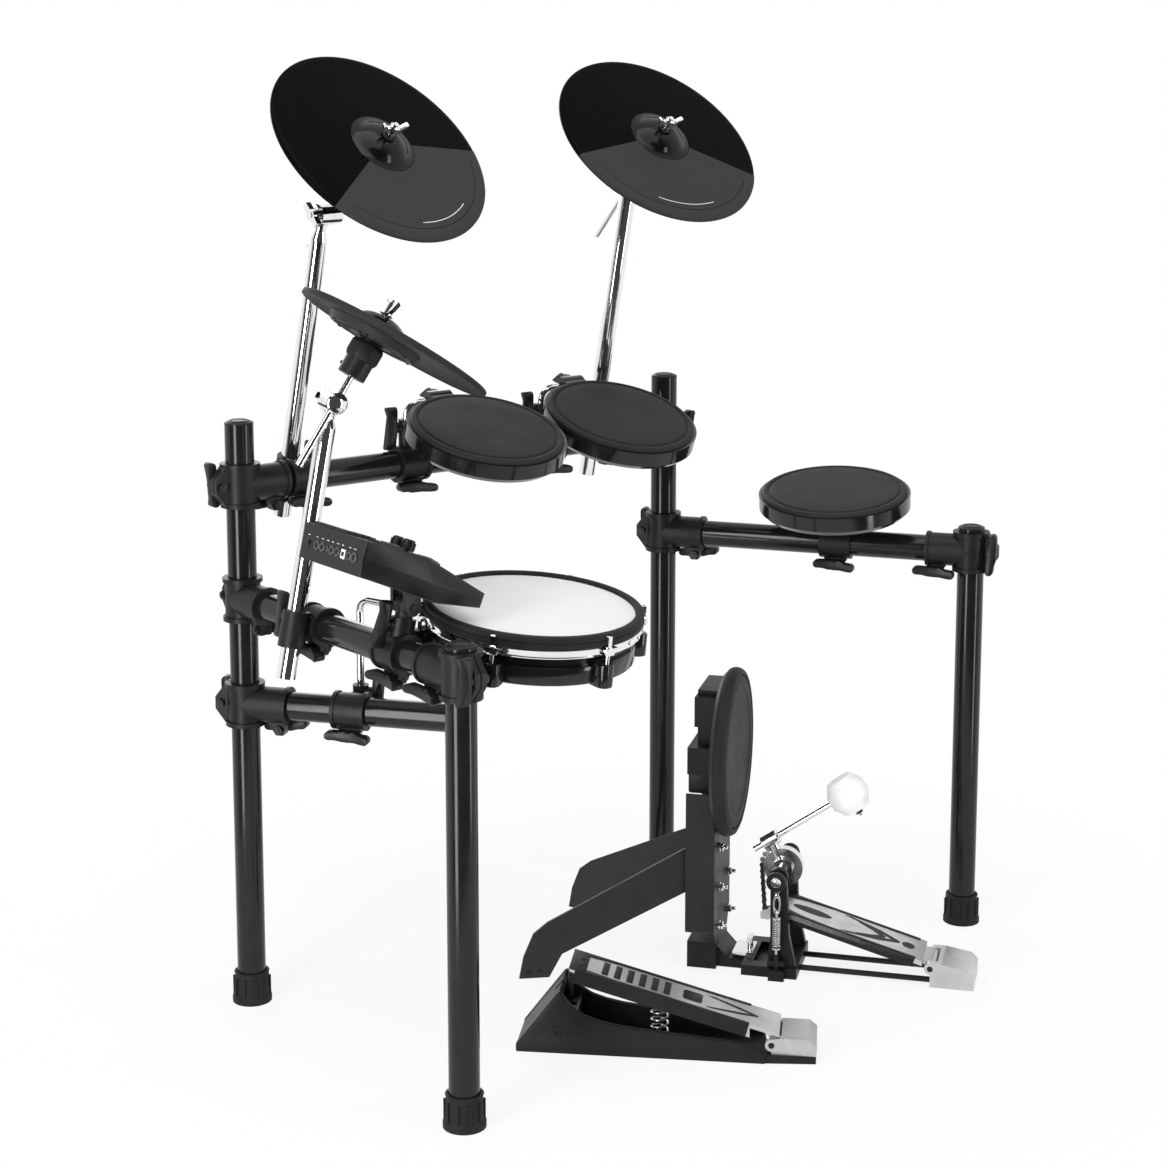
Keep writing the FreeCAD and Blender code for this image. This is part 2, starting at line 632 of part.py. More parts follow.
def snare_nodes():
    """Shell with lugs and bracket, rubber hoop, mesh head and chrome tension hardware."""
    place = snare_frame()
    rim = -HEAD_T
    bore = SNARE_SHELL_R - SNARE_WALL
    cup = turned([(0, -SNARE_H), (SNARE_SHELL_R - 12, -SNARE_H), (SNARE_SHELL_R, -SNARE_H + 12),
                  (SNARE_SHELL_R, rim), (bore, rim), (bore, -SNARE_H + 14), (bore - 10, -SNARE_H + SNARE_WALL),
                  (0, -SNARE_H + SNARE_WALL)])
    lug = slab([(SNARE_SHELL_R - 3, -52), (TENSION_PCR + 6, -48), (TENSION_PCR + 6, -32),
                (SNARE_SHELL_R - 3, -28)], "XZ", (-9, 9))
    holes = around(rod(V(TENSION_PCR, 0, -60), V(TENSION_PCR, 0, 0), TENSION_R + FIT), SNARE_LUGS, 20)
    socket = box((-17, 17), SNARE_BOX, (-60, -31))
    shell = put(join([cup, socket] + around(lug, SNARE_LUGS, 20)).cut(holes), place)
    leg = rod(at(snare_leg_foot(), SNARE_LEG_Z), snare_leg_end() + snare_leg_dir() * GAP, L_ROD_R + RUN)
    hoop = outline_face((SNARE_HEAD_R + RUN, HOOP_BASE),
                        [(SNARE_HOOP_R, HOOP_BASE), (SNARE_HOOP_R, HOOP_TOP - 4),
                         ((SNARE_HOOP_R - 1.2, HOOP_TOP - 1.2), (SNARE_HOOP_R - 4, HOOP_TOP)),
                         (SNARE_HEAD_R + 3, HOOP_TOP), (SNARE_HEAD_R + RUN, HOOP_TOP - 3)])
    head = rod(V(0, 0, -HEAD_T), ORIGIN, SNARE_HEAD_R)
    low = HOOP_BASE - RING_T
    ring = turned([(SNARE_SHELL_R + RUN, low), (SNARE_HOOP_R - 3, low), (SNARE_HOOP_R - 1, HOOP_BASE),
                   (SNARE_SHELL_R + RUN, HOOP_BASE)])
    claw = box((TENSION_PCR - 6, TENSION_PCR + 6), (-7, 7), (low - 4, HOOP_BASE))
    screw = join([rod(V(TENSION_PCR, 0, -58), V(TENSION_PCR, 0, low), TENSION_R), claw])
    return {
        "snare_shell": [shell.cut(leg)],
        "snare_hoop": [put(hoop.revolve(ORIGIN, UP, 360), place)],
        "snare_head": [put(head, place)],
        "snare_rods": [put(join([ring] + around(screw, SNARE_LUGS, 20)), place)],
    }


def bent_rod(foot, corner, end, radius):
    """Rod that rises from its foot and bends over into a level leg."""
    level = unit(end - corner)
    rise = corner - UP * L_BEND_R
    turn = corner + level * L_BEND_R
    middle = corner + (level - UP) * L_BEND_R * (1 - math.sqrt(0.5))
    path = Part.Wire([Part.makeLine(foot, rise), Part.Arc(rise, middle, turn).toShape(), Part.makeLine(turn, end)])
    section = Part.Wire(Part.makeCircle(radius, foot, UP))
    return path.makePipeShell([section], True, False)


def tom_leg(spec):
    """Foot, corner and end of the rod behind a tom."""
    axis = tom_frame(spec).multVec(V(0, TOM_AXIS_Y, TOM_AXIS_Z))
    foot = V(axis.x - TOM_LEG_OFFSET, axis.y, FRONT_BAR_Z + TUBE_R + 4)
    corner = V(foot.x, foot.y, axis.z)
    return foot, corner, axis + V(BRACKET_W + 6, 0, 0)


def l_rods():
    """Bent rods behind the two front toms and beside the snare."""
    rods = [bent_rod(*tom_leg(TOMS[name]), L_ROD_R) for name in ("tom1", "tom2")]
    foot = snare_leg_foot()
    rods.append(bent_rod(foot - UP * 28, at(foot, SNARE_LEG_Z), snare_leg_end(), L_ROD_R))
    return rods


# Sound module: outline of its side as (X, Z), its span along Y, its post and its tilt pin.
MODULE_RISE = [(-69.5, 160), (13.5, 129), (96.5, 73), (89.5, 56), (26.5, 71), (-58.5, 109), (-80.5, 118)]
MODULE_SIDE = [(POST_LEFT.x + reach, WING_BAR_Z + rise) for reach, rise in MODULE_RISE]
MODULE_Y = (-145, -11)
MODULE_ALONG = 356
MODULE_WALL = 3
MODULE_PANEL_T = 5
MODULE_POST_R = 11
MODULE_LEAN = 14
MODULE_POST_L = 57
MODULE_KNUCKLE_R = 11
MODULE_KNUCKLE_W = 11
MODULE_CHEEK = 6
KNOB_R = 8.5
KNOB_H = 14
KNOB_STEM_R = 3
KNOB_PLACES = {"volume_knob": (73, -125), "menu_dial": (73, -103)}
KEY_PLACES = {"key_1": (22, -120), "key_2": (22, -78), "key_3": (22, -36)}
KEY_HALF = (9, 15)
KEY_RISE = 4
KEY_TRAVEL = 2


def module_post_line():
    """Foot, direction and pivot of the module's post."""
    axis = leaning(heading(LEFT_HEADING + 90), MODULE_LEAN)
    foot = at(POST_LEFT, WING_BAR_Z, LEFT_DIR * MODULE_ALONG)
    return foot, axis, foot + axis * MODULE_POST_L


def panel_frame(first, second):
    """Frame on a top facet of the module: origin at its rear edge, local X down the slope, local Y along +Y."""
    (x1, z1), (x2, z2) = MODULE_SIDE[first], MODULE_SIDE[second]
    down = V(x2 - x1, 0, z2 - z1)
    return axes(V(x1, 0, z1), down, V(-down.z, 0, down.x))


def module_nodes():
    """Case, top panel, knobs, keys and post of the sound module."""
    outer = slab(MODULE_SIDE, "XZ", MODULE_Y)
    top = MODULE_SIDE[:3]
    strip = slab(top + [(x, z - MODULE_PANEL_T) for x, z in reversed(top)], "XZ", MODULE_Y)
    inside = face([V(x, MODULE_Y[0] + MODULE_WALL, z) for x, z in MODULE_SIDE]).makeOffset2D(-MODULE_WALL)
    hollow = inside.extrude(V(0, MODULE_Y[1] - MODULE_Y[0] - 2 * MODULE_WALL, 0))
    foot, axis, pivot = module_post_line()
    half = MODULE_KNUCKLE_W
    side = V(0, 1, 0)
    bracket = [rod(pivot + side * sign * (half + RUN), pivot + side * sign * (half + RUN + MODULE_CHEEK),
                   MODULE_KNUCKLE_R) for sign in (-1, 1)]
    for sign in (-1, 1):
        low, high = sorted((pivot.y + sign * (half + RUN), pivot.y + sign * (half + RUN + MODULE_CHEEK)))
        bracket.append(box((pivot.x - MODULE_KNUCKLE_R, pivot.x + MODULE_KNUCKLE_R), (low, high),
                           (pivot.z, pivot.z + 24)))
    body = join([outer.cut([strip, hollow])] + [lug.cut(hollow) for lug in bracket])
    pin = rod(pivot - side * 40, pivot + side * 40, NECK_PIN_R + FIT)
    panel = outer.common(strip)
    rear = panel_frame(0, 1)
    slope = panel_frame(1, 2)
    raised = [put(box((8, 50), (-91, -19), (-1, 4)), rear), put(box((24, 60), (-139, -113), (-1, 3)), rear)]
    panel = join([panel] + raised)
    nodes = {}
    cuts = []
    for name, (u, y) in KNOB_PLACES.items():
        cap = outline_face((0, 1), [(KNOB_R, 1), (KNOB_R - 0.8, KNOB_H - 1), (KNOB_R - 2, KNOB_H), (0, KNOB_H)])
        stem = rod(V(0, 0, -MODULE_PANEL_T - 3), V(0, 0, 2), KNOB_STEM_R)
        ridge = box((KNOB_R - 2, KNOB_R + 0.6), (-0.9, 0.9), (2, KNOB_H - 3))
        knob = join([cap.revolve(ORIGIN, UP, 360), stem] + around(ridge, 12))
        spot = rear.multiply(FreeCAD.Placement(V(u, y, 0), FreeCAD.Rotation()))
        nodes[name] = [put(knob, spot)]
        cuts.append(put(rod(V(0, 0, -20), V(0, 0, 20), KNOB_STEM_R + RUN), spot))
    for name, (u, y) in KEY_PLACES.items():
        wide, long = KEY_HALF
        spot = slope.multiply(FreeCAD.Placement(V(u, y, 0), FreeCAD.Rotation()))
        cap = box((-wide, wide), (-long, long), (-MODULE_PANEL_T, KEY_RISE))
        nodes[name] = [put(cap, spot)]
        well = box((-wide - RUN, wide + RUN), (-long - RUN, long + RUN), (-20, 20))
        cuts.append(put(well, spot))
    nodes["module_case"] = [body.cut(rod(pivot - side * 40, pivot + side * 40, NECK_PIN_R + RUN))]
    nodes["module_panel"] = [panel.cut(cuts)]
    stem = rod(foot + axis * (TUBE_R + 4), pivot, MODULE_POST_R)
    knuckle = rod(pivot - side * half, pivot + side * half, MODULE_KNUCKLE_R)
    space = box((pivot.x - 40, pivot.x + 40), (pivot.y - 40, pivot.y - half), (pivot.z - 16, pivot.z + 30))
    other = box((pivot.x - 40, pivot.x + 40), (pivot.y + half, pivot.y + 40), (pivot.z - 16, pivot.z + 30))
    nodes["module_post"] = [join([stem.cut([space, other]), knuckle]).cut(pin)]
    return nodes


NECK_CONE = (15, 34, 17, 12)
TOM_RECEIVER = (15, 60)
SNARE_RECEIVER = (-22, 26)
MODULE_SOCKET = (15, 42)


def receivers():
    """Bar clamps with a receiver: bar point, bar direction, receiver point, axis, bore, limits and screw side."""
    rows = []
    for spec in CYMBALS.values():
        rows.append((spec["bar"], spec["along"], cymbal_base(spec), cymbal_axis(spec), ARM_R + RUN,
                     RECEIVER_LIMITS, spec["along"] * spec["screw"]))
    for name in ("tom1", "tom2"):
        foot = tom_leg(TOMS[name])[0]
        rows.append((V(foot.x, FRONT_Y, FRONT_BAR_Z), FRONT_DIR, V(foot.x, foot.y, FRONT_BAR_Z), UP,
                     L_ROD_R + FIT, TOM_RECEIVER, -FRONT_DIR))
    snare_bar = at(POST_LEFT, SNARE_BAR_Z, SNARE_DIR * SNARE_ALONG)
    rows.append((snare_bar, SNARE_DIR, snare_leg_foot(), UP, L_ROD_R + FIT, SNARE_RECEIVER, SNARE_DIR))
    foot, axis, pivot = module_post_line()
    rear = unit(UP - axis * axis.z)
    rows.append((foot, LEFT_DIR, foot, axis, MODULE_POST_R + FIT, MODULE_SOCKET, rear))
    return rows


def tom3_clamp():
    """Bar clamp with a tapered neck and a fork that carries the pin under the third tom."""
    low, high, wide, narrow = NECK_CONE
    rise = tom_frame(TOMS["tom3"]).multVec(tom_axis(TOMS["tom3"])).z - WING_BAR_Z
    tip = SLEEVE_R + EAR_REACH
    half = BAR_CLAMP_L / 2
    outer = NECK_LUG_W + RUN + NECK_CHEEK
    ear = [(-17, 0), (-17, -SLEEVE_R), (-6, -tip), (6, -tip), (17, -SLEEVE_R), (17, 0)]
    body = join([
        rod(V(-half, 0, 0), V(half, 0, 0), SLEEVE_R),
        Part.makeCone(wide, narrow, high - low, V(0, 0, low)),
        box((-outer, outer), (-NECK_LUG_R, NECK_LUG_R), (high - 9, rise)),
        rod(V(-outer, 0, rise), V(outer, 0, rise), NECK_LUG_R),
        slab(ear, "XZ", (-EAR_T / 2, EAR_T / 2)),
    ])
    gap = NECK_LUG_W + RUN
    return put(body.cut([
        rod(V(-half - 1, 0, 0), V(half + 1, 0, 0), TUBE_R + FIT),
        box((-gap, gap), (-30, 30), (rise - NECK_LUG_R - 2, rise + 30)),
        rod(V(-outer - 1, 0, rise), V(outer + 1, 0, rise), NECK_PIN_R + FIT),
        box((-half - 1, half + 1), (-SPLIT / 2, SPLIT / 2), (-tip - 1, 1 - TUBE_R)),
        rod(V(0, -EAR_T, ear_bolt_z()), V(0, EAR_T, ear_bolt_z()), BOLT_R + FIT),
    ]), tom3_clamp_frame())


def tom3_clamp_frame():
    """Frame of the third tom's clamp on the right wing bar."""
    return axes(on_right_wing(TOM3_ALONG), RIGHT_DIR, UP)


def clamp_nodes():
    """Bar clamps and every wing bolt and wing screw of the rack."""
    clamps = [bar_clamp(*row) for row in receivers()] + [tom3_clamp()]
    bolt = wing_bolt(EAR_T)
    bolts = []
    post_spot, bar_spot = corner_bolt_spots()
    for place in corner_places():
        bolts.append(put(bolt, place.multiply(axes(post_spot, V(0, 1, 0), UP))))
        bolts.append(put(bolt, place.multiply(axes(bar_spot, V(0, 1, 0), FRONT_DIR))))
    ear_turn = axes(V(0, 0, ear_bolt_z()), V(0, -1, 0), FRONT_DIR)
    for bar, direction, receiver, axis, bore, limits, side in receivers():
        bolts.append(put(bolt, axes(bar, direction, UP).multiply(ear_turn)))
        bolts.append(put(wing_screw(bore), axes(receiver + axis * screw_height(limits), side, axis)))
    bolts.append(put(bolt, tom3_clamp_frame().multiply(ear_turn)))
    return {"bar_clamps": clamps, "wing_bolts": bolts}


# Kick tower and pedal, in a frame with local X towards the heel and local Z up.
KICK_PLACE = axes(V(251.7, -1.6, 0), heading(-51), UP)
TOWER_FRONT = -8
TOWER_BACK = -49
TOWER_HALF = 60
TOWER_LOW = 38
TOWER_TOP = 258
TOWER_SHEET = 3
KICK_PAD_Z = 305
KICK_PAD_R = 115
KICK_FACE = 15
KICK_RUBBER_R = 108
KICK_RUBBER_T = 12
LEG_T = 4
LEG_RUN = 235
LEG_SPLAY = 22
LEG_TOP = 180
LEG_LOW = 116
LEG_FOOT = 42
LEG_TAB = 30
BASE_T = 15
BASE_A = (30, 108)
BASE_HALF = 55
AXLE = V(80, 0, 144)
AXLE_R = 6
AXLE_B = (-64, 54)
UPRIGHT_B = (40, 50)
CAM_R = 27.5
CAM_HALF = 7
CHAIN_R = 31
CHAIN_PITCH = 8.6
CHAIN_LINKS = 8
ROLLER_R = 3
ROLLER_HALF = 4.5
STRIKE = 54
HOLDER = V(61, 0, 181)
BEATER = V(168, 0, 256)
BEATER_TAIL = 28
BEATER_R = 28.5
BEATER_HALF = 25
BEATER_ROD_R = 4
PEDAL_HINGE = V(290, 0, 26)
PEDAL_TOE = V(81, 0, 92)
PEDAL_HALF = 37.5
PEDAL_T = 7
PEDAL_STROKE = 7
TONGUE = V(54, 0, 72)
HINGE_R = 8
HINGE_PIN_R = 4
KNUCKLE_HALF = 24
HEEL_HALF = 36
HEEL_A = (300, 350)
HEEL_H = 28
RADIUS_ROD_R = 4
RADIUS_ROD_B = 25
SPRING_A = 80
SPRING_B = -59.5
SPRING_LUG = 15
SPRING_COIL_R = 4.4
SPRING_WIRE_R = 0.9
SPRING_TURNS = 11
SPRING_LOW = 48
SPRING_PITCH = 3.6
ANCHOR_TOP = 36


def sideways(shape, origin, axis):
    """Shape turned about local Z, with that axis laid along another direction."""
    across = V(0, 1, 0) if abs(axis.y) < 0.5 else V(1, 0, 0)
    return put(shape, axes(origin, across, axis))


def tower_nodes():
    """Folded tower plate, its legs, base, bolts and the kick pad."""
    outline = [(-TOWER_HALF, TOWER_TOP), (-TOWER_HALF, TOWER_LOW + 22), (-TOWER_HALF + 16, TOWER_LOW),
               (TOWER_HALF - 16, TOWER_LOW), (TOWER_HALF, TOWER_LOW + 22), (TOWER_HALF, TOWER_TOP)]
    inner = TOWER_HALF - TOWER_SHEET
    channel = slab(outline, "YZ", (TOWER_BACK, TOWER_FRONT))
    hollow = box((TOWER_BACK - 1, TOWER_FRONT - TOWER_SHEET), (-inner, inner), (TOWER_LOW - 1, TOWER_TOP + 1))
    bolt_spots = [(b, z) for z in (62, 118, 176) for b in (-34, 34)]
    bores = [rod(V(-60, b, z), V(20, b, z), BOLT_R + FIT) for b, z in bolt_spots]
    bolts = [join([rod(V(TOWER_FRONT - 12, b, z), V(TOWER_FRONT, b, z), BOLT_R),
                   rod(V(TOWER_FRONT, b, z), V(TOWER_FRONT + 4, b, z), 6.5)]) for b, z in bolt_spots]
    side = [(-3, LEG_TOP), (LEG_RUN - 40, LEG_TOP - 100), (LEG_RUN - 20, LEG_TOP - 116), (LEG_RUN - 6, 31),
            (LEG_RUN, 0), (LEG_RUN - LEG_FOOT, 0), (LEG_RUN - LEG_FOOT - 18, 33), (-3, LEG_LOW)]
    legs = []
    for sign in (-1, 1):
        strut = slab(side, "XZ", (-LEG_T / 2, LEG_T / 2))
        fold = V(TOWER_BACK, sign * (inner - LEG_T / 2 - 1), 0)
        tab = box((TOWER_BACK - 1, TOWER_BACK + LEG_TAB), sorted((sign * (inner - LEG_T), sign * inner)),
                  (LEG_LOW + 2, LEG_TOP - 2))
        legs.append(join([put(strut, axes(fold, heading(180 - sign * LEG_SPLAY), UP)), tab]))
    base = join([box((TOWER_BACK, TOWER_FRONT), (-44, 44), (0, TOWER_LOW)),
                 slab([(TOWER_FRONT, 0), (30 - GAP, 0), (30 - GAP, 10), (8, 13), (TOWER_FRONT, TOWER_LOW - 8)],
                      "XZ", (-32, 32))])
    back = TOWER_FRONT + RUN
    deep = KICK_FACE - KICK_RUBBER_T
    dish = turned([(0, back), (KICK_PAD_R - 5, back), (KICK_PAD_R, back + 5), (KICK_PAD_R, KICK_FACE - 5),
                   (KICK_RUBBER_R + RUN, KICK_FACE - 5), (KICK_RUBBER_R + RUN, deep), (0, deep)])
    centre = V(0, 0, KICK_PAD_Z)
    shell = join([sideways(dish, centre, V(1, 0, 0)),
                  box((TOWER_BACK + 12, back + 2), (-40, 40), (TOWER_TOP + 4, KICK_PAD_Z + 97)),
                  box((TOWER_BACK + 2, back + 2), (-62, 62), (KICK_PAD_Z - 18, KICK_PAD_Z + 20)),
                  box((TOWER_BACK + 10, back + 2), (-54, 54), (KICK_PAD_Z + 48, KICK_PAD_Z + 90))])
    disc = outline_face((0, deep), [(KICK_RUBBER_R, deep), (KICK_RUBBER_R, KICK_FACE - 3),
                                    ((KICK_RUBBER_R - 1, KICK_FACE - 1), (KICK_RUBBER_R - 3, KICK_FACE)),
                                    (0, KICK_FACE)])
    clip = join([box((12, 40), (-22, 22), (BASE_T, BASE_T + 5)), rod(V(34, 0, BASE_T), V(34, 0, BASE_T + 22), 4),
                 box((30, 38), (-9, 9), (BASE_T + 14, BASE_T + 22))])
    return {
        "tower_plate": [channel.cut([hollow] + bores)],
        "tower_bolts": bolts,
        "tower_legs": legs,
        "tower_base": [base],
        "kick_pad_shell": [shell],
        "kick_pad_rubber": [sideways(disc.revolve(ORIGIN, UP, 360), centre, V(1, 0, 0))],
        "hoop_clamp": [clip],
    }


def arc_by_corner(start, corner, end):
    """Arc from start to end whose end tangents meet at the corner."""
    middle = (start + end) * 0.5
    angle = (corner - start).getAngle(end - start)
    lift = (end - start).Length / 2 * math.tan(angle / 2)
    return Part.Arc(start, middle + unit(corner - middle) * lift, end).toShape()


def biarc(start, start_dir, end, end_dir):
    """Two arcs that leave the start and reach the end along given directions."""
    chord = end - start
    both = start_dir + end_dir
    spread = 2 * (1 - start_dir.dot(end_dir))
    along = chord.dot(both)
    reach = (math.sqrt(along * along + spread * chord.dot(chord)) - along) / spread
    first = start + start_dir * reach
    second = end - end_dir * reach
    joint = (first + second) * 0.5
    return [arc_by_corner(start, first, joint), arc_by_corner(joint, second, end)]


def helix_point(radius, pitch, turn):
    """Point of a helix about local Z after a number of turns, and its direction there."""
    angle = 2 * math.pi * turn
    point = V(radius * math.cos(angle), radius * math.sin(angle), pitch * turn)
    return point, unit(V(-radius * math.sin(angle), radius * math.cos(angle), pitch / (2 * math.pi)))


def coil_spring(name, radius, pitch, turns, wire_r):
    """Coil of one unbroken wire about local Z, its ends straight for one wire diameter."""
    first, first_dir = helix_point(radius, pitch, 0)
    last, last_dir = helix_point(radius, pitch, turns)
    edges = [Part.makeLine(first - first_dir * 2 * wire_r, first)]
    quarters = int(round(4 * turns))
    for quarter in range(quarters):
        edges += biarc(*helix_point(radius, pitch, quarter / 4), *helix_point(radius, pitch, (quarter + 1) / 4))
    edges.append(Part.makeLine(last, last + last_dir * 2 * wire_r))
    start = first - first_dir * 2 * wire_r
    section = put(Part.makePolygon([heading(60 * k) * wire_r for k in range(7)]), axes(start, UP, first_dir))
    wire = Part.Wire(edges).makePipeShell([section], True, False)
    points = [helix_point(radius, pitch, step / 24)[0] for step in range(int(24 * turns) + 1)]
    gap = min((p - q).Length for i, p in enumerate(points) for q in points[i + 12:]) - 2 * wire_r
    print(f"{name}: least gap between turns {gap:.2f} mm")
    return wire


def across(centre, limits, radius):
    """Round bar along local Y between limits, at a centre in the XZ plane."""
    return rod(V(centre.x, limits[0], centre.z), V(centre.x, limits[1], centre.z), radius)


def around_axle(radius, degrees):
    """Point at an angle about the axle in its own XZ plane."""
    return AXLE + V(math.cos(math.radians(degrees)), 0, math.sin(math.radians(degrees))) * radius


def beater_dir():
    """Direction of the beater rod at rest."""
    return unit(BEATER - HOLDER)


def chain():
    """Hanging part of the chain: rollers joined by side plates, with an eye on the tongue pin."""
    top = V(AXLE.x - CHAIN_R, 0, AXLE.z)
    run = top - TONGUE
    shapes = []
    for index in range(CHAIN_LINKS + 1):
        spot = TONGUE + run * (index / CHAIN_LINKS)
        shapes.append(across(spot, (-ROLLER_HALF, ROLLER_HALF), ROLLER_R))
        if index < CHAIN_LINKS:
            inset = 1.4 if index % 2 else 0
            for sign in (-1, 1):
                low, high = sorted((sign * (ROLLER_HALF - inset), sign * (ROLLER_HALF - inset - 1.4)))
                plate = box((-0.5, run.Length / CHAIN_LINKS + 0.5), (low, high), (-2.2, 2.2))
                shapes.append(put(plate, axes(spot, run, V(-run.z, 0, run.x))))
    bore = across(TONGUE, (-20, 20), 1.6 + RUN)
    eye = across(TONGUE, (-ROLLER_HALF, ROLLER_HALF), ROLLER_R + 1.2)
    return join(shapes + [eye]).cut(bore)


def pedal_nodes():
    """Kick pedal: base, uprights, axle with cam, chain, beater, footplate, heel, rods and spring."""
    base = join([box(BASE_A, (-BASE_HALF, BASE_HALF), (0, BASE_T)),
                 box((70, 92), (SPRING_B - 8, -BASE_HALF + 1), (0, BASE_T)),
                 rod(V(SPRING_A, SPRING_B, BASE_T - 1), V(SPRING_A, SPRING_B, ANCHOR_TOP - RUN), 3.5),
                 box((SPRING_A - 12, SPRING_A + 12), (SPRING_B - 2.5, SPRING_B + 2.5), (20, 27))])
    window = box((BASE_A[0] + 14, 66), (-36, 36), (5, BASE_T + 1))
    column = [(66, BASE_T), (106, BASE_T), (96, 60), (91, AXLE.z + 9), (69, AXLE.z + 9), (70, 60)]
    uprights = []
    for sign in (-1, 1):
        limits = sorted((sign * UPRIGHT_B[0], sign * UPRIGHT_B[1]))
        post = join([slab(column, "XZ", limits), across(AXLE, limits, AXLE_R + 7)])
        uprights.append(post.cut(across(AXLE, (-90, 90), AXLE_R + RUN)))
    links = [around_axle(CHAIN_R, 180 - step) for step in (16, 32, 48)]
    lug_low, lug_high = SPRING_B + 3, SPRING_B + 7
    eye = AXLE - UP * SPRING_LUG
    lug = slab([(AXLE.x - 7, AXLE.z), (eye.x - 4, eye.z - 4), (eye.x + 4, eye.z - 4), (AXLE.x + 7, AXLE.z)],
               "XZ", (lug_low, lug_high))
    holder = rod(HOLDER - beater_dir() * 12, HOLDER + beater_dir() * 12, 10)
    axle = join([across(AXLE, AXLE_B, AXLE_R), across(AXLE, (-CAM_HALF, CAM_HALF), CAM_R),
                 across(AXLE, (-CAM_HALF - 8, CAM_HALF + 8), AXLE_R + 8), rod(AXLE, HOLDER, 8), holder, lug,
                 across(AXLE, (lug_low - 1, lug_high), 9), across(eye, (SPRING_B - 4, lug_high), 2)]
                + [across(link, (-ROLLER_HALF, ROLLER_HALF), ROLLER_R + 0.6) for link in links])
    tail = HOLDER - beater_dir() * BEATER_TAIL
    shaft = rod(tail, BEATER - beater_dir() * (BEATER_R - 12), BEATER_ROD_R)
    felt = turned([(0, -BEATER_HALF), (17, -BEATER_HALF), (BEATER_R, -10), (BEATER_R, 10), (17, BEATER_HALF),
                   (0, BEATER_HALF)])
    strike = V(-beater_dir().z, 0, beater_dir().x)
    socket = rod(tail, BEATER - beater_dir() * (BEATER_R - 12 - FIT), BEATER_ROD_R + FIT)
    head = sideways(felt, BEATER, strike).cut(socket)
    slope = unit(PEDAL_TOE - PEDAL_HINGE)
    plate_end = PEDAL_HINGE + V(-HINGE_R - 3, 0, 0)
    plate_end.z = PEDAL_HINGE.z + HINGE_R + slope.z * 11
    tread = [(PEDAL_TOE.x, PEDAL_TOE.z - PEDAL_T), (PEDAL_TOE.x, PEDAL_TOE.z), (plate_end.x, plate_end.z),
             (plate_end.x, plate_end.z - PEDAL_T)]
    strap = [(plate_end.x - 8, plate_end.z - PEDAL_T), (plate_end.x - 8, plate_end.z - 1),
             (PEDAL_HINGE.x, PEDAL_HINGE.z + HINGE_R), (PEDAL_HINGE.x, PEDAL_HINGE.z)]
    cheek = [(TONGUE.x - 5, TONGUE.z - 5), (TONGUE.x + 6, TONGUE.z - 6), (PEDAL_TOE.x + 8, PEDAL_TOE.z - PEDAL_T - 3),
             (PEDAL_TOE.x + 8, PEDAL_TOE.z - 3), (PEDAL_TOE.x, PEDAL_TOE.z), (TONGUE.x - 5, TONGUE.z + 5)]
    low, high = ROLLER_HALF + RUN, ROLLER_HALF + RUN + 4
    plate = join([slab(tread, "XZ", (-PEDAL_HALF, PEDAL_HALF)), slab(strap, "XZ", (-KNUCKLE_HALF, KNUCKLE_HALF)),
                  slab(cheek, "XZ", (low, high)),
                  slab(cheek, "XZ", (-high, -low)), across(TONGUE, (-high, high), 1.6),
                  across(PEDAL_HINGE, (-KNUCKLE_HALF, KNUCKLE_HALF), HINGE_R)])
    plate = plate.cut(across(PEDAL_HINGE, (-60, 60), HINGE_PIN_R + RUN))
    relief = HINGE_R + GAP
    heel = [(PEDAL_HINGE.x, 0), (HEEL_A[1], 0), (HEEL_A[1], HEEL_H - 8), (HEEL_A[1] - 8, HEEL_H),
            (HEEL_A[0] + 6, HEEL_H + 6), (PEDAL_HINGE.x, PEDAL_HINGE.z + HINGE_R)]
    block = join([slab(heel, "XZ", (-HEEL_HALF, HEEL_HALF)),
                  across(PEDAL_HINGE, (-HEEL_HALF, HEEL_HALF), HINGE_R)])
    block = block.cut([box((PEDAL_HINGE.x - 20, PEDAL_HINGE.x + relief + 1), (-KNUCKLE_HALF - RUN, KNUCKLE_HALF + RUN),
                           (PEDAL_HINGE.z - HINGE_R - 4, 90)),
                       across(PEDAL_HINGE, (-60, 60), HINGE_PIN_R + FIT)])
    rods = []
    for sign in (-1, 1):
        start = V(BASE_A[1] - 18, sign * RADIUS_ROD_B, RADIUS_ROD_R + 3)
        end = V(PEDAL_HINGE.x + 18, sign * RADIUS_ROD_B, RADIUS_ROD_R + 3)
        rods.append(rod(start, end, RADIUS_ROD_R))
        base = base.cut(rod(start - V(FIT, 0, 0), end, RADIUS_ROD_R + FIT))
        block = block.cut(rod(start, end + V(FIT, 0, 0), RADIUS_ROD_R + FIT))
    coil_top = SPRING_LOW + SPRING_PITCH * SPRING_TURNS
    coil = coil_spring("pedal_spring", SPRING_COIL_R, SPRING_PITCH, SPRING_TURNS, SPRING_WIRE_R)
    coil.translate(V(SPRING_A, SPRING_B, SPRING_LOW))
    spring_axis = V(SPRING_A, SPRING_B, 0)
    cup_r = SPRING_COIL_R + SPRING_WIRE_R
    reach = SPRING_WIRE_R + RUN
    lower = join([rod(spring_axis + UP * ANCHOR_TOP, spring_axis + UP * (SPRING_LOW - reach), 1.6),
                  rod(spring_axis + UP * (SPRING_LOW - reach - 2), spring_axis + UP * (SPRING_LOW - reach), cup_r)])
    upper = join([rod(spring_axis + UP * (coil_top + reach), spring_axis + UP * (coil_top + reach + 2), cup_r),
                  rod(spring_axis + UP * (coil_top + reach), spring_axis + UP * (eye.z - 3), 1.6),
                  across(V(SPRING_A, 0, eye.z), (SPRING_B - 2, SPRING_B + 2), 4.5)])
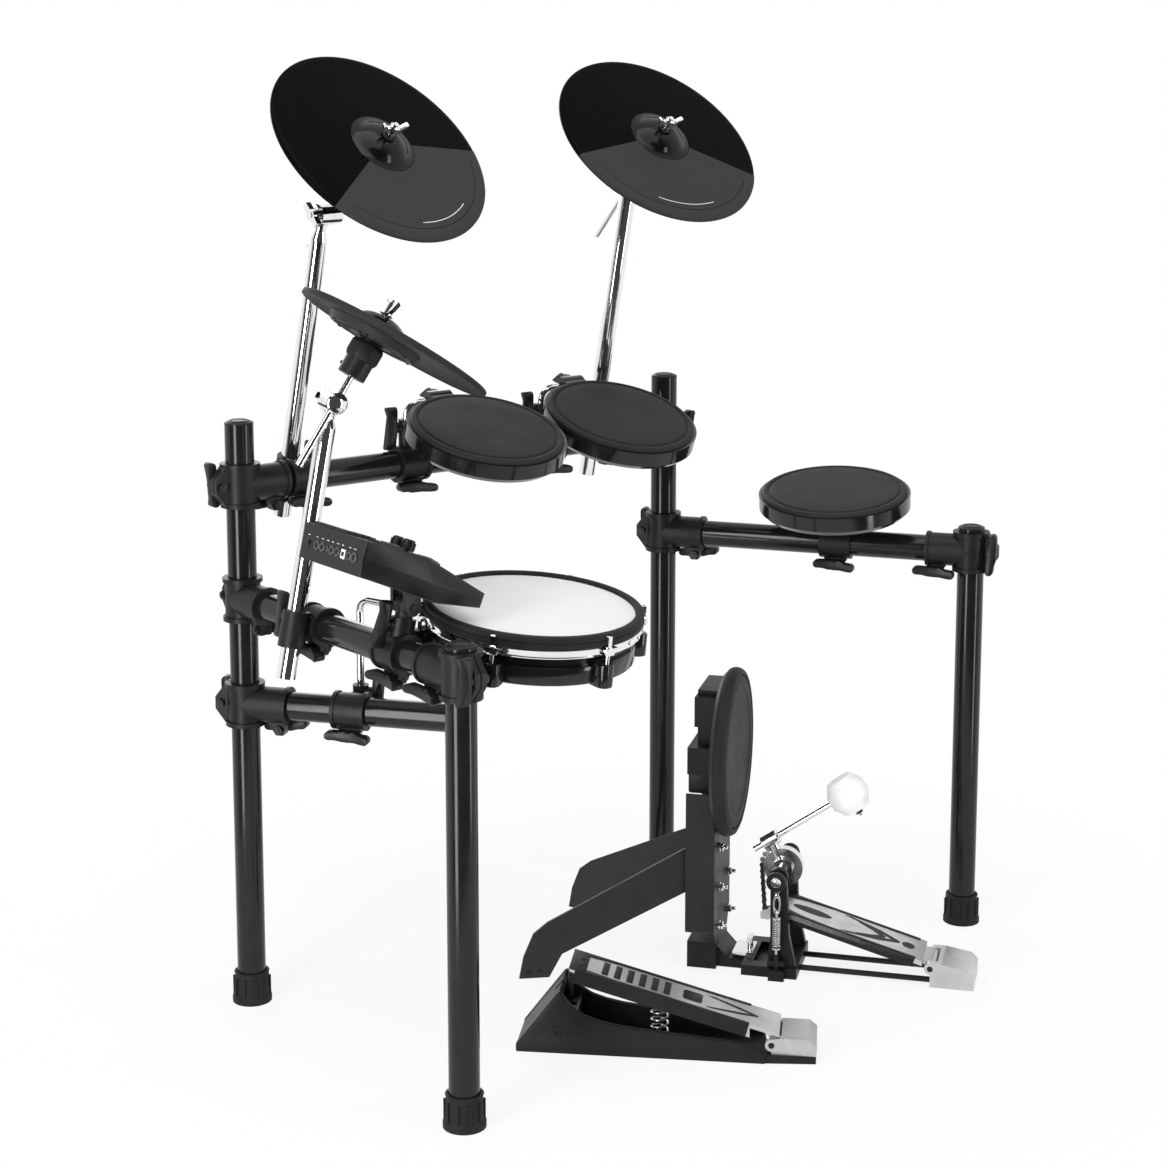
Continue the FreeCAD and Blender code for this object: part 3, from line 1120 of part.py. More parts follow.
    upper = upper.cut(across(V(SPRING_A, 0, eye.z), (SPRING_B - 9, SPRING_B + 9), 2 + RUN))
    return {
        "pedal_base": [base.cut(window)],
        "pedal_uprights": uprights,
        "pedal_axle": [axle.cut(rod(tail, BEATER, BEATER_ROD_R + FIT))],
        "beater_rod": [shaft],
        "beater_head": [head],
        "kick_footplate": [plate],
        "pedal_chain": [chain()],
        "kick_heel_block": [block],
        "radius_rods": rods,
        "pedal_spring": [coil, lower, upper],
    }


# Hi-hat pedal, in a frame with its origin under the toe and local X towards the heel.
HAT_PLACE = axes(V(-140, -46, 0), heading(-44), UP)
HAT_HALF = 40
HAT_HEEL_HALF = 33
HAT_LENGTH = 385
HAT_FLOOR = 10
HAT_WALL = 6
HAT_REAR = HAT_LENGTH - 65
HAT_SIDE = [(0, 0), (0, 10), (55, 82), (80, 54), (124, 39), (HAT_REAR - 79, 28), (HAT_REAR - 9, 20),
            (HAT_REAR, 10), (HAT_REAR, 0)]
HAT_HINGE = V(HAT_REAR + 8, 0, 22)
HAT_TOE = V(68, 0, 113)
HAT_END = V(HAT_REAR + 18, 0, 38)
HAT_GRIPS = 6
HAT_GRIP_FIRST = 112
HAT_GRIP_STEP = 16
HAT_GRIP_SIZE = (8, 26)
HAT_GRIP_DEPTH = 2.5
HAT_PLATE_HALF = 31
HAT_PLATE_T = 5
HAT_RAIL = 18
HAT_STROKE = 6
HAT_SPRING_A = 182
HAT_SPRING_R = 11
HAT_SPRING_WIRE_R = 1.5
HAT_SPRING_TURNS = 6
HAT_PLUNGER_A = 66
HAT_PLUNGER_R = 3
HAT_JACK = V(52, 0, 30)
JACK_R = 3.25
JACK_DEPTH = HAT_WALL + 1


def hat_line(a, below=0):
    """Height of the hi-hat footplate's top at a place along it, less a depth."""
    rise = (HAT_TOE.z - HAT_END.z) / (HAT_END.x - HAT_TOE.x)
    return HAT_END.z + (HAT_END.x - a) * rise - below


def hat_strip(start, end, above, below):
    """Outline along the footplate between two places, from above to below its top."""
    return [(start, hat_line(start, -above)), (end, hat_line(end, -above)), (end, hat_line(end, below)),
            (start, hat_line(start, below))]


def hat_nodes():
    """Hi-hat pedal: trough base, heel block, footplate with rails, toe block with plunger, and spring."""
    inner = HAT_HALF - HAT_WALL
    plan = [(0, -HAT_HALF), (HAT_REAR - 20, -HAT_HALF), (HAT_LENGTH, -HAT_HEEL_HALF),
            (HAT_LENGTH, HAT_HEEL_HALF), (HAT_REAR - 20, HAT_HALF), (0, HAT_HALF)]
    trough = slab([(14, HAT_FLOOR), (58, 68), (58, 120), (HAT_REAR + 10, 120), (HAT_REAR + 10, HAT_FLOOR)], "XZ", (-inner, inner))
    shell = slab(HAT_SIDE, "XZ", (-HAT_HALF, HAT_HALF)).cut(trough)
    bridge = box((57, 78), (-inner - 1, inner + 1), (38, 52))
    slot = box((46, 74), (-HAT_PLUNGER_R - 1.5, HAT_PLUNGER_R + 1.5), (30, 100))
    jack = across(HAT_JACK, (-HAT_HALF - 1, -HAT_HALF + JACK_DEPTH), JACK_R)
    base = join([slab(plan, "XY", (0, HAT_FLOOR)), shell, bridge]).cut([slot, jack])
    reach = HINGE_R + GAP
    knuckle = HAT_HEEL_HALF - 11
    heel = [(HAT_HINGE.x, HAT_FLOOR), (HAT_LENGTH, HAT_FLOOR), (HAT_LENGTH, 24), (HAT_LENGTH - 10, 32),
            (HAT_HINGE.x + 12, 32), (HAT_HINGE.x, HAT_HINGE.z + HINGE_R)]
    block = join([slab(heel, "XZ", (-HAT_HEEL_HALF, HAT_HEEL_HALF)),
                  across(HAT_HINGE, (-HAT_HEEL_HALF, HAT_HEEL_HALF), HINGE_R)])
    block = block.cut([box((HAT_HINGE.x - 20, HAT_HINGE.x + reach + 4), (-knuckle - RUN, knuckle + RUN),
                           (HAT_HINGE.z - HINGE_R - 3, 90)),
                       across(HAT_HINGE, (-60, 60), HINGE_PIN_R + FIT),
                       box((HAT_HINGE.x - 20, HAT_LENGTH), (-60, 60), (0, HAT_FLOOR))])
    top = slab(hat_strip(HAT_TOE.x, HAT_END.x, 0, HAT_PLATE_T), "XZ", (-HAT_PLATE_HALF, HAT_PLATE_HALF))
    rails = [slab(hat_strip(HAT_TOE.x + 6, HAT_REAR - 20, 0, HAT_RAIL), "XZ", limits)
             for limits in ((-HAT_PLATE_HALF, -HAT_PLATE_HALF + 4), (HAT_PLATE_HALF - 4, HAT_PLATE_HALF))]
    web = slab([(HAT_HINGE.x - 10, hat_line(HAT_HINGE.x - 10, 1)), (HAT_HINGE.x + 6, hat_line(HAT_HINGE.x + 6, 1)),
                (HAT_HINGE.x + 4, HAT_HINGE.z), (HAT_HINGE.x - 6, HAT_HINGE.z)], "XZ", (-knuckle, knuckle))
    plate = join([top, web, across(HAT_HINGE, (-knuckle, knuckle), HINGE_R - 1)] + rails)
    slope = unit(HAT_END - HAT_TOE)
    half_a, half_b = HAT_GRIP_SIZE[0] / 2, HAT_GRIP_SIZE[1] / 2
    grip = box((-half_a, half_a), (-half_b, half_b), (-HAT_GRIP_DEPTH, HAT_GRIP_DEPTH))
    grip_spots = [HAT_GRIP_FIRST + HAT_GRIP_STEP * step for step in range(HAT_GRIPS)]
    slots = [put(grip, axes(V(a, 0, hat_line(a)), slope, V(-slope.z, 0, slope.x))) for a in grip_spots]
    plate = plate.cut(slots + [across(HAT_HINGE, (-60, 60), HINGE_PIN_R + RUN)])
    toe = join([slab(hat_strip(HAT_TOE.x, HAT_TOE.x + 27, -HAT_PLATE_T - 0.01, 22), "XZ", (-22, 22)),
                rod(V(HAT_PLUNGER_A, 0, 64), V(HAT_PLUNGER_A, 0, hat_line(HAT_PLUNGER_A, 14)), HAT_PLUNGER_R)])
    spring_low = HAT_FLOOR + HAT_SPRING_WIRE_R + GAP
    space = hat_line(HAT_SPRING_A + HAT_SPRING_R + 2, HAT_PLATE_T) - HAT_SPRING_WIRE_R - RUN - spring_low
    coil = coil_spring("hihat_spring", HAT_SPRING_R, space / HAT_SPRING_TURNS, HAT_SPRING_TURNS, HAT_SPRING_WIRE_R)
    coil.translate(V(HAT_SPRING_A, 0, spring_low))
    return {
        "hihat_pedal_base": [base],
        "hihat_heel_block": [block],
        "hihat_footplate": [plate],
        "hihat_toe_block": [toe],
        "hihat_spring": [coil],
    }


def hinge_pins():
    """Pins of the two footplates, the third tom's neck and the module."""
    pivot = module_post_line()[2]
    side = V(0, MODULE_KNUCKLE_W + MODULE_CHEEK + 2, 0)
    neck = tom3_clamp_frame()
    rise = neck.inverse().multVec(tom_frame(TOMS["tom3"]).multVec(tom_axis(TOMS["tom3"])))
    half = V(NECK_LUG_W + RUN + NECK_CHEEK, 0, 0)
    return [
        put(across(PEDAL_HINGE, (-HEEL_HALF, HEEL_HALF), HINGE_PIN_R), KICK_PLACE),
        put(across(HAT_HINGE, (-HAT_HEEL_HALF, HAT_HEEL_HALF), HINGE_PIN_R), HAT_PLACE),
        put(rod(rise - half, rise + half, NECK_PIN_R), neck),
        rod(pivot - side, pivot + side, NECK_PIN_R),
    ]


def build():
    """Every node of the kit in the rack frame, as lists of solids."""
    nodes = {}
    rack = rack_nodes()
    nodes["posts"] = rack.pop("tall_posts") + rack.pop("short_posts")
    nodes.update(rack)
    nodes.update(clamp_nodes())
    nodes.update(cymbal_nodes())
    for name, spec in TOMS.items():
        nodes[name + "_shell"] = [tom_shell(spec)]
        nodes[name + "_rubber"] = [tom_rubber(spec)]
    nodes.update(snare_nodes())
    nodes["l_rods"] = l_rods()
    nodes.update(module_nodes())
    for place, makers in ((KICK_PLACE, (tower_nodes, pedal_nodes)), (HAT_PLACE, (hat_nodes,))):
        for maker in makers:
            for name, shapes in maker().items():
                nodes[name] = [put(shape, place) for shape in shapes]
    nodes["hinge_pins"] = hinge_pins()
    return nodes


def main():
    """Write one STEP file for each node, with the plan centre at the origin."""
    os.makedirs("parts", exist_ok=True)
    for name, shapes in build().items():
        solids = []
        for shape in shapes:
            moved = shape.copy()
            moved.translate(-PLAN_CENTRE)
            solids += moved.Solids
        whole = solids[0] if len(solids) == 1 else Part.makeCompound(solids)
        whole.exportStep(f"parts/{name}.step")


if __name__ == "__main__":
    main()
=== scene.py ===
"""Looks of the electronic drum kit: finishes, modelled pads, pedals, module details, light and camera."""

import functools
import logging
import math
from dataclasses import dataclass
from enum import Enum

import bmesh
import bpy
from mathutils import Matrix, Vector


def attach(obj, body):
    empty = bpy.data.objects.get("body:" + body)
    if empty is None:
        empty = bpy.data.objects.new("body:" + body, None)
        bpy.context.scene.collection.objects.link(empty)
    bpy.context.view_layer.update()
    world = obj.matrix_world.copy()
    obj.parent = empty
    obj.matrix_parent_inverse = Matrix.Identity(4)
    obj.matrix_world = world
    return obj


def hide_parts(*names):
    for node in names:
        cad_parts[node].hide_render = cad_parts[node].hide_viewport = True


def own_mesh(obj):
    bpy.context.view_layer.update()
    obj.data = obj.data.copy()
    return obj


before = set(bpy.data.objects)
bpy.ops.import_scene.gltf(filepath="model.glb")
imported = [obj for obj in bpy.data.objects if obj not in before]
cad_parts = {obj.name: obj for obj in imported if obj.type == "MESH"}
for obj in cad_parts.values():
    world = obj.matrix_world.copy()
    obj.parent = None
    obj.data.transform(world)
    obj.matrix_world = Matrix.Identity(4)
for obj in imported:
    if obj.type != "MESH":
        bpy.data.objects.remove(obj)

LOG = logging.getLogger("drum_kit")
RACK_ORIGIN = Vector((0.10885, 0.00347, 0.0))
MILLIMETRE = 0.001
SEGMENTS = 96
FINE_SEGMENTS = 128
ZONE_SEGMENTS = 144
COIL_SEGMENTS = 28
WIRE_SIDES = 10
MERGE_DISTANCE = 0.002
BEVEL_ANGLE = 0.5
LEVEL = 1e-5
SHARP_ANGLE = math.radians(38.0)
BUMP_DISTANCE = 0.0006
COAT_ROUGHNESS = 0.08
AHEAD = (1.0, 0.0, 0.0)
UP = (0.0, 0.0, 1.0)
WHITE = (1.0, 1.0, 1.0, 1.0)
STAND = Matrix.Rotation(math.pi / 2, 4, "X")
FACE_X = Matrix.Rotation(math.pi / 2, 4, "Y")

Pair = tuple[float, float]
Triple = tuple[float, float, float]
Tree = bpy.types.NodeTree
Node = bpy.types.Node
Socket = bpy.types.NodeSocket
Vert = bmesh.types.BMVert
Edge = bmesh.types.BMEdge


class Texture(Enum):
    """Fine surface that a finish carries: name of its node group, and scale of its patches."""

    MOULDED = ("moulded_grain", 26.0)
    PEBBLED = ("rubber_pebble", 18.0)
    POLISHED = ("polish_haze", 40.0)
    BRUSHED = ("brushed_lines", 32.0)
    FELTED = ("felt_fibres", 60.0)
    WOVEN = ("mesh_weave", 12.0)


def set_inputs(tree: Tree, node: Node, values: dict[str | int, object]) -> None:
    """Set or link the inputs of a shader node.

    Args:
        tree: Node tree that holds the node.
        node: The node.
        values: Values, or sockets to link, by the input's name or place.
    """
    for place, value in values.items():
        if isinstance(value, Socket):
            tree.links.new(value, node.inputs[place])
        else:
            node.inputs[place].default_value = value


def add_node(tree: Tree, kind: str, values: dict[str | int, object] | None = None, **settings: object) -> Node:
    """Add a shader node.

    Args:
        tree: Node tree to add to.
        kind: Blender's name of the node, without ShaderNode before it.
        values: Values, or sockets to link, by the input's name or place.
        settings: Settings of the node itself.

    Returns:
        The new node.
    """
    node = tree.nodes.new("ShaderNode" + kind)
    for name, value in settings.items():
        setattr(node, name, value)
    set_inputs(tree, node, values or {})
    return node


def math_node(tree: Tree, operation: str, *values: object) -> Socket:
    """Add a math node.

    Args:
        tree: Node tree to add to.
        operation: Blender's name of the operation.
        values: Numbers, or sockets to link.

    Returns:
        The node's output socket.
    """
    return add_node(tree, "Math", dict(enumerate(values)), operation=operation).outputs[0]


class TextureGroup:
    """Shader node group of a texture: its height, and the broad patches of handling and dust."""

    def __init__(self, texture: Texture) -> None:
        """Build the group, with a Vector and a Scale input, and a Height and a Patch output.

        Args:
            texture: The texture.
        """
        name, broad = texture.value
        self.tree = bpy.data.node_groups.new(name, "ShaderNodeTree")
        for label, way, kind in (("Vector", "INPUT", "Vector"), ("Scale", "INPUT", "Float"),
                                 ("Height", "OUTPUT", "Float"), ("Patch", "OUTPUT", "Float")):
            self.tree.interface.new_socket(label, in_out=way, socket_type="NodeSocket" + kind)
        source, target = self.tree.nodes.new("NodeGroupInput"), self.tree.nodes.new("NodeGroupOutput")
        self.vector, self.scale = source.outputs["Vector"], source.outputs["Scale"]
        spread = add_node(self.tree, "MapRange", {"Value": self.noise(broad, 5.0, 0.62), "From Min": 0.34,
                                                "From Max": 0.68})
        height = getattr(self, texture.name.lower())()
        set_inputs(self.tree, target, {"Height": height, "Patch": spread.outputs["Result"]})

    def math(self, operation: str, *values: object) -> Socket:
        """Math node in the group, as for math_node."""
        return math_node(self.tree, operation, *values)

    def added(self, value: Socket, other: Socket, share: float) -> Socket:
        """Sum of a value and a share of another."""
        return self.math("ADD", value, self.math("MULTIPLY", other, share))

    def scaled(self, times: float) -> Socket:
        """Multiple of the group's scale."""
        return self.math("MULTIPLY", self.scale, times)

    def mapped(self, vector: Socket, **values: Triple) -> Socket:
        """Coordinates that are turned or scaled along X, Y and Z."""
        return add_node(self.tree, "Mapping", {"Vector": vector, **values}).outputs["Vector"]

    def noise(self, scale: object, detail: float, rough: float = 0.55, vector: Socket | None = None) -> Socket:
        """Noise texture.

        Args:
            scale: Number, or a socket that gives the scale.
            detail: Number of octaves.
            rough: Weight of the finer octaves.
            vector: Coordinates, if they aren't the group's own.

        Returns:
            The noise value.
        """
        values = {"Vector": self.vector if vector is None else vector, "Scale": scale, "Detail": detail,
                  "Roughness": rough}
        return add_node(self.tree, "TexNoise", values).outputs["Fac"]

    def moulded(self) -> Socket:
        """Spark-eroded mould grain: two sizes of noise added together."""
        return self.added(self.noise(self.scale, 3.0), self.noise(self.scaled(0.35), 2.0), 0.6)

    def pebbled(self) -> Socket:
        """Pebbled rubber: smooth cells with fine noise over them.

        Returns:
            The height.
        """
        cells = add_node(self.tree, "TexVoronoi", {"Vector": self.vector, "Scale": self.scale}, feature="SMOOTH_F1")
        domes = self.math("SUBTRACT", 1.0, cells.outputs["Distance"])
        return self.added(domes, self.noise(self.scaled(2.2), 2.0), 0.35)

    def polished(self) -> Socket:
        """Polished plate or gloss skin: a very slow wave and a trace of haze."""
        return self.added(self.noise(self.scaled(0.08), 1.0), self.noise(self.scale, 4.0, 0.7), 0.08)

    def brushed(self) -> Socket:
        """Satin casting: short lines that run along the pedals.

        Returns:
            The height.
        """
        turned = self.mapped(self.vector, Rotation=(0.0, 0.0, math.radians(47.0)))
        lines = self.noise(self.scale, 3.0, 0.6, self.mapped(turned, Scale=(0.05, 1.0, 1.0)))
        return self.added(lines, self.noise(self.scale, 2.0), 0.4)

    def felted(self) -> Socket:
        """Pressed wool: matted fibres in three directions.

        Returns:
            The height.
        """
        ways = ((1.0, 0.16, 1.0), (0.16, 1.0, 1.0), (1.0, 1.0, 0.16))
        one, two, three = (self.noise(self.scale, 3.0, 0.65, self.mapped(self.vector, Scale=way)) for way in ways)
        return self.math("MAXIMUM", self.math("MAXIMUM", one, two), three)

    def woven(self) -> Socket:
        """Mesh cloth: threads that pass over and under each other.

        Returns:
            The height.
        """
        parts = add_node(self.tree, "SeparateXYZ", {"Vector": self.vector}).outputs
        warp, weft = (self.math("SINE", self.math("MULTIPLY", parts[axis], self.scale)) for axis in "XY")
        ridge = self.math("MAXIMUM", self.math("ABSOLUTE", warp), self.math("ABSOLUTE", weft))
        return self.added(ridge, self.math("MULTIPLY", warp, weft), 0.5)


@functools.cache
def texture_tree(texture: Texture) -> Tree:
    """Node group of a texture, built when first asked for."""
    return TextureGroup(texture).tree


@dataclass(frozen=True)
class Finish:
    """Finish of a surface: two colours in patches, a roughness range, a fine texture and the record's slot."""

    name: str
    colour: Triple
    shade: Triple
    rough: Pair
    texture: Texture
    scale: float = 900.0
    depth: float = 0.15
    metallic: float = 0.0
    coat: float = 0.0
    specular: float = 0.5
    sheen: float = 0.0
    slot: str = ""

    def material(self) -> bpy.types.Material:
        """Give the finish as a material, built when first asked for.

        Returns:
            A material on Object coordinates.
        """
        known = bpy.data.materials.get(self.name)
        if known:
            return known
        made = bpy.data.materials.new(self.name)
        made.use_nodes = True
        made.diffuse_color = (*self.colour, 1.0)
        tree = made.node_tree
        where = add_node(tree, "TexCoord").outputs["Object"]
        detail = add_node(tree, "Group", {"Vector": where, "Scale": self.scale}, node_tree=texture_tree(self.texture))
        patch = detail.outputs["Patch"]
        tint = add_node(tree, "Mix", {"Factor": patch, "A": (*self.colour, 1.0), "B": (*self.shade, 1.0)},
                        data_type="RGBA")
        gloss = add_node(tree, "MapRange", {"Value": patch, "To Min": self.rough[0], "To Max": self.rough[1]})
        bump = add_node(tree, "Bump", {"Height": detail.outputs["Height"], "Strength": self.depth,
                                       "Distance": BUMP_DISTANCE})
        set_inputs(tree, tree.nodes["Principled BSDF"], {
            "Base Color": tint.outputs["Result"], "Roughness": gloss.outputs["Result"],
            "Normal": bump.outputs["Normal"], "Metallic": self.metallic, "Coat Weight": self.coat,
            "Coat Roughness": COAT_ROUGHNESS, "Specular IOR Level": self.specular, "Sheen Weight": self.sheen})
        return made


class Palette:
    BLACK_TUBE = Finish("black_tube_paint", (0.008, 0.0082, 0.009), (0.011, 0.0112, 0.012), (0.13, 0.18),
                        Texture.POLISHED, 700.0, 0.004, specular=0.3)
    MOULDING = Finish("clamp_moulding", (0.0095, 0.0095, 0.0102), (0.014, 0.014, 0.0148), (0.36, 0.48),
                      Texture.MOULDED, 1100.0, 0.14, specular=0.2, slot="black_moulding")
    BOLT = Finish("wing_bolt_nylon", (0.01, 0.01, 0.0106), (0.015, 0.015, 0.0157), (0.3, 0.42),
                  Texture.MOULDED, 1300.0, 0.1, specular=0.24, slot="black_bolt")
    RUBBER = Finish("foot_rubber", (0.011, 0.011, 0.0113), (0.018, 0.018, 0.0184), (0.55, 0.7),
                    Texture.PEBBLED, 900.0, 0.2, specular=0.18, slot="black_rubber")
    PAD_RUBBER = Finish("pad_rubber_face", (0.018, 0.018, 0.0193), (0.024, 0.024, 0.0256), (0.56, 0.7),
                        Texture.PEBBLED, 1500.0, 0.12, specular=0.16, slot="pad_rubber")
    ZONE_RUBBER = Finish("cymbal_zone_rubber", (0.028, 0.028, 0.03), (0.035, 0.035, 0.0374), (0.54, 0.66),
                         Texture.PEBBLED, 1600.0, 0.1, specular=0.16, slot="cymbal_rubber")
    CYMBAL_GLOSS = Finish("cymbal_gloss_skin", (0.002, 0.002, 0.0023), (0.003, 0.003, 0.0034), (0.1, 0.15),
                          Texture.POLISHED, 240.0, 0.002, specular=0.02, slot="cymbal_rubber")
    BELL_GLOSS = Finish("cymbal_bell_gloss", (0.003, 0.003, 0.0034), (0.0045, 0.0045, 0.005), (0.1, 0.16),
                        Texture.POLISHED, 420.0, 0.015, specular=0.2, slot="cymbal_rubber")
    CYMBAL_UNDER = Finish("cymbal_underside", (0.016, 0.0165, 0.018), (0.024, 0.0246, 0.0265), (0.46, 0.6),
                          Texture.MOULDED, 900.0, 0.2, specular=0.25, slot="cymbal_rubber")
    SHELL = Finish("gloss_shell_plastic", (0.006, 0.006, 0.0066), (0.009, 0.009, 0.0098), (0.1, 0.15),
                   Texture.POLISHED, 500.0, 0.016, specular=0.42, slot="gloss_shell")
    CHROME = Finish("chrome_plate", (0.86, 0.865, 0.87), (0.8, 0.805, 0.812), (0.045, 0.1),
                    Texture.POLISHED, 600.0, 0.001, metallic=1.0, slot="chrome_rod")
    SATIN_ROD = Finish("bright_zinc_rod", (0.78, 0.78, 0.79), (0.7, 0.7, 0.71), (0.16, 0.26),
                       Texture.POLISHED, 900.0, 0.08, metallic=1.0)
    POWDER = Finish("tower_powder_coat", (0.02, 0.0206, 0.022), (0.027, 0.0276, 0.0295), (0.44, 0.56),
                    Texture.MOULDED, 1400.0, 0.14, specular=0.22)
    CAST = Finish("silver_casting", (0.6, 0.605, 0.615), (0.5, 0.505, 0.515), (0.3, 0.44),
                  Texture.BRUSHED, 1500.0, 0.12, metallic=0.9)
    CASE = Finish("module_case_grey", (0.008, 0.0083, 0.0094), (0.012, 0.0124, 0.0138), (0.3, 0.4),
                  Texture.MOULDED, 1500.0, 0.02, specular=0.24, slot="module_grey")
    PANEL = Finish("module_panel_black", (0.015, 0.0155, 0.017), (0.022, 0.0225, 0.025), (0.34, 0.46),
                   Texture.MOULDED, 1600.0, 0.1, specular=0.25, slot="module_grey")
    KEY = Finish("key_cap_grey", (0.05, 0.051, 0.055), (0.065, 0.066, 0.07), (0.4, 0.52),
                 Texture.MOULDED, 1500.0, 0.12, slot="key_grey")
    GLASS = Finish("screen_window", (0.008, 0.01, 0.012), (0.012, 0.014, 0.016), (0.05, 0.09),
                   Texture.POLISHED, 300.0, 0.01, coat=0.5, slot="key_grey")
    FELT = Finish("beater_felt", (0.9, 0.9, 0.89), (0.83, 0.83, 0.82), (0.85, 0.95),
                  Texture.FELTED, 1500.0, 0.35, specular=0.2, sheen=0.3, slot="felt")
    MESH = Finish("snare_mesh", (0.93, 0.93, 0.935), (0.9, 0.9, 0.905), (0.6, 0.7),
                  Texture.WOVEN, 4200.0, 0.12, specular=0.3, slot="mesh")
    SPRING = Finish("spring_wire", (0.62, 0.62, 0.63), (0.5, 0.5, 0.51), (0.2, 0.32),
                    Texture.POLISHED, 1500.0, 0.1, metallic=1.0, slot="spring_steel")
    INLAY = Finish("pedal_grip_black", (0.009, 0.009, 0.0094), (0.014, 0.014, 0.0145), (0.42, 0.54),
                   Texture.PEBBLED, 1700.0, 0.14, specular=0.22, slot="black_moulding")
    MARK = Finish("printed_white", (0.75, 0.75, 0.76), (0.68, 0.68, 0.69), (0.4, 0.5),
                  Texture.MOULDED, 2000.0, 0.05, slot="key_grey")
    CHAIN = Finish("blackened_chain", (0.02, 0.02, 0.021), (0.034, 0.034, 0.035), (0.28, 0.4),
                   Texture.MOULDED, 1500.0, 0.12, metallic=0.6)


def heading(degrees: float) -> Vector:
    """Level unit vector at an angle from local X."""
    angle = math.radians(degrees)
    return Vector((math.cos(angle), math.sin(angle), 0.0))


def rack_place(origin: Triple, along: Triple | Vector, normal: Triple | Vector) -> Matrix:
    """Frame for a piece that is modelled in millimetres.

    Args:
        origin: Origin in the rack's own millimetres.
        along: Direction of local X.
        normal: Direction of local Z.

    Returns:
        The matrix from local millimetres to the row frame in metres.
    """
    z = Vector(normal).normalized()
    x = Vector(along)
    x = (x - z * x.dot(z)).normalized()
    turn = Matrix((x, z.cross(x), z)).transposed().to_4x4()
    return Matrix.Translation(Vector(origin) * MILLIMETRE - RACK_ORIGIN) @ turn @ Matrix.Scale(MILLIMETRE, 4)


def tilted(centre: Triple, uphill: float, tilt: float) -> Matrix:
    """Frame on the face of a tilted pad.

    Args:
        centre: Middle of the face in the rack's own millimetres.
        uphill: Direction in which the face rises, in degrees.
        tilt: Slope of the face, in degrees.

    Returns:
        The matrix to the row frame, with local Y up the tilt.
    """
    up, lean = heading(uphill), math.radians(tilt)
    normal = Vector(UP) * math.cos(lean) - up * math.sin(lean)
    return rack_place(centre, up.cross(Vector(UP)), normal)


def sloped(base: Matrix, at: Pair, start: Pair, stop: Pair) -> Matrix:
    """Frame on a slope in the XZ plane of a unit.

    Args:
        base: Frame of the unit.
        at: X and Z of the new origin.
        start: X and Z where the slope starts.
        stop: X and Z where it stops.

    Returns:
        The frame, with local X along the slope and local Z square to it.
    """
    run = Vector((stop[0] - start[0], 0, stop[1] - start[1])).normalized()
    normal = Vector((-run.z, 0, run.x))
    turn = Matrix((run, normal.cross(run), normal)).transposed().to_4x4()
    return base @ Matrix.Translation((at[0], 0, at[1])) @ turn


def rect(x0: float, x1: float, y0: float, y1: float) -> list[Pair]:
    """Corners of a rectangle, in order."""
    return [(x0, y0), (x1, y0), (x1, y1), (x0, y1)]


def oval(middle: float, x_radius: float, y_radius: float, sides: int = 32) -> list[Pair]:
    """Points of an oval whose middle is on the X axis."""
    angles = [math.tau * k / sides for k in range(sides)]
    return [(middle + x_radius * math.cos(a), y_radius * math.sin(a)) for a in angles]


def edges_of(verts: list[Vert]) -> set[Edge]:
    """Every edge at the given vertices."""
    return {edge for vert in verts for edge in vert.link_edges}


def linked(verts: list[Vert]) -> list[Vert]:
    """Follow edges from vertices to all that they join.

    Args:
        verts: Vertices to start from.

    Returns:
        The vertices of every shape that they belong to.
    """
    found, wave = set(verts), list(verts)
    while wave:
        vert = wave.pop()
        fresh = {edge.other_vert(vert) for edge in vert.link_edges} - found
        found |= fresh
        wave += fresh
    return list(found)


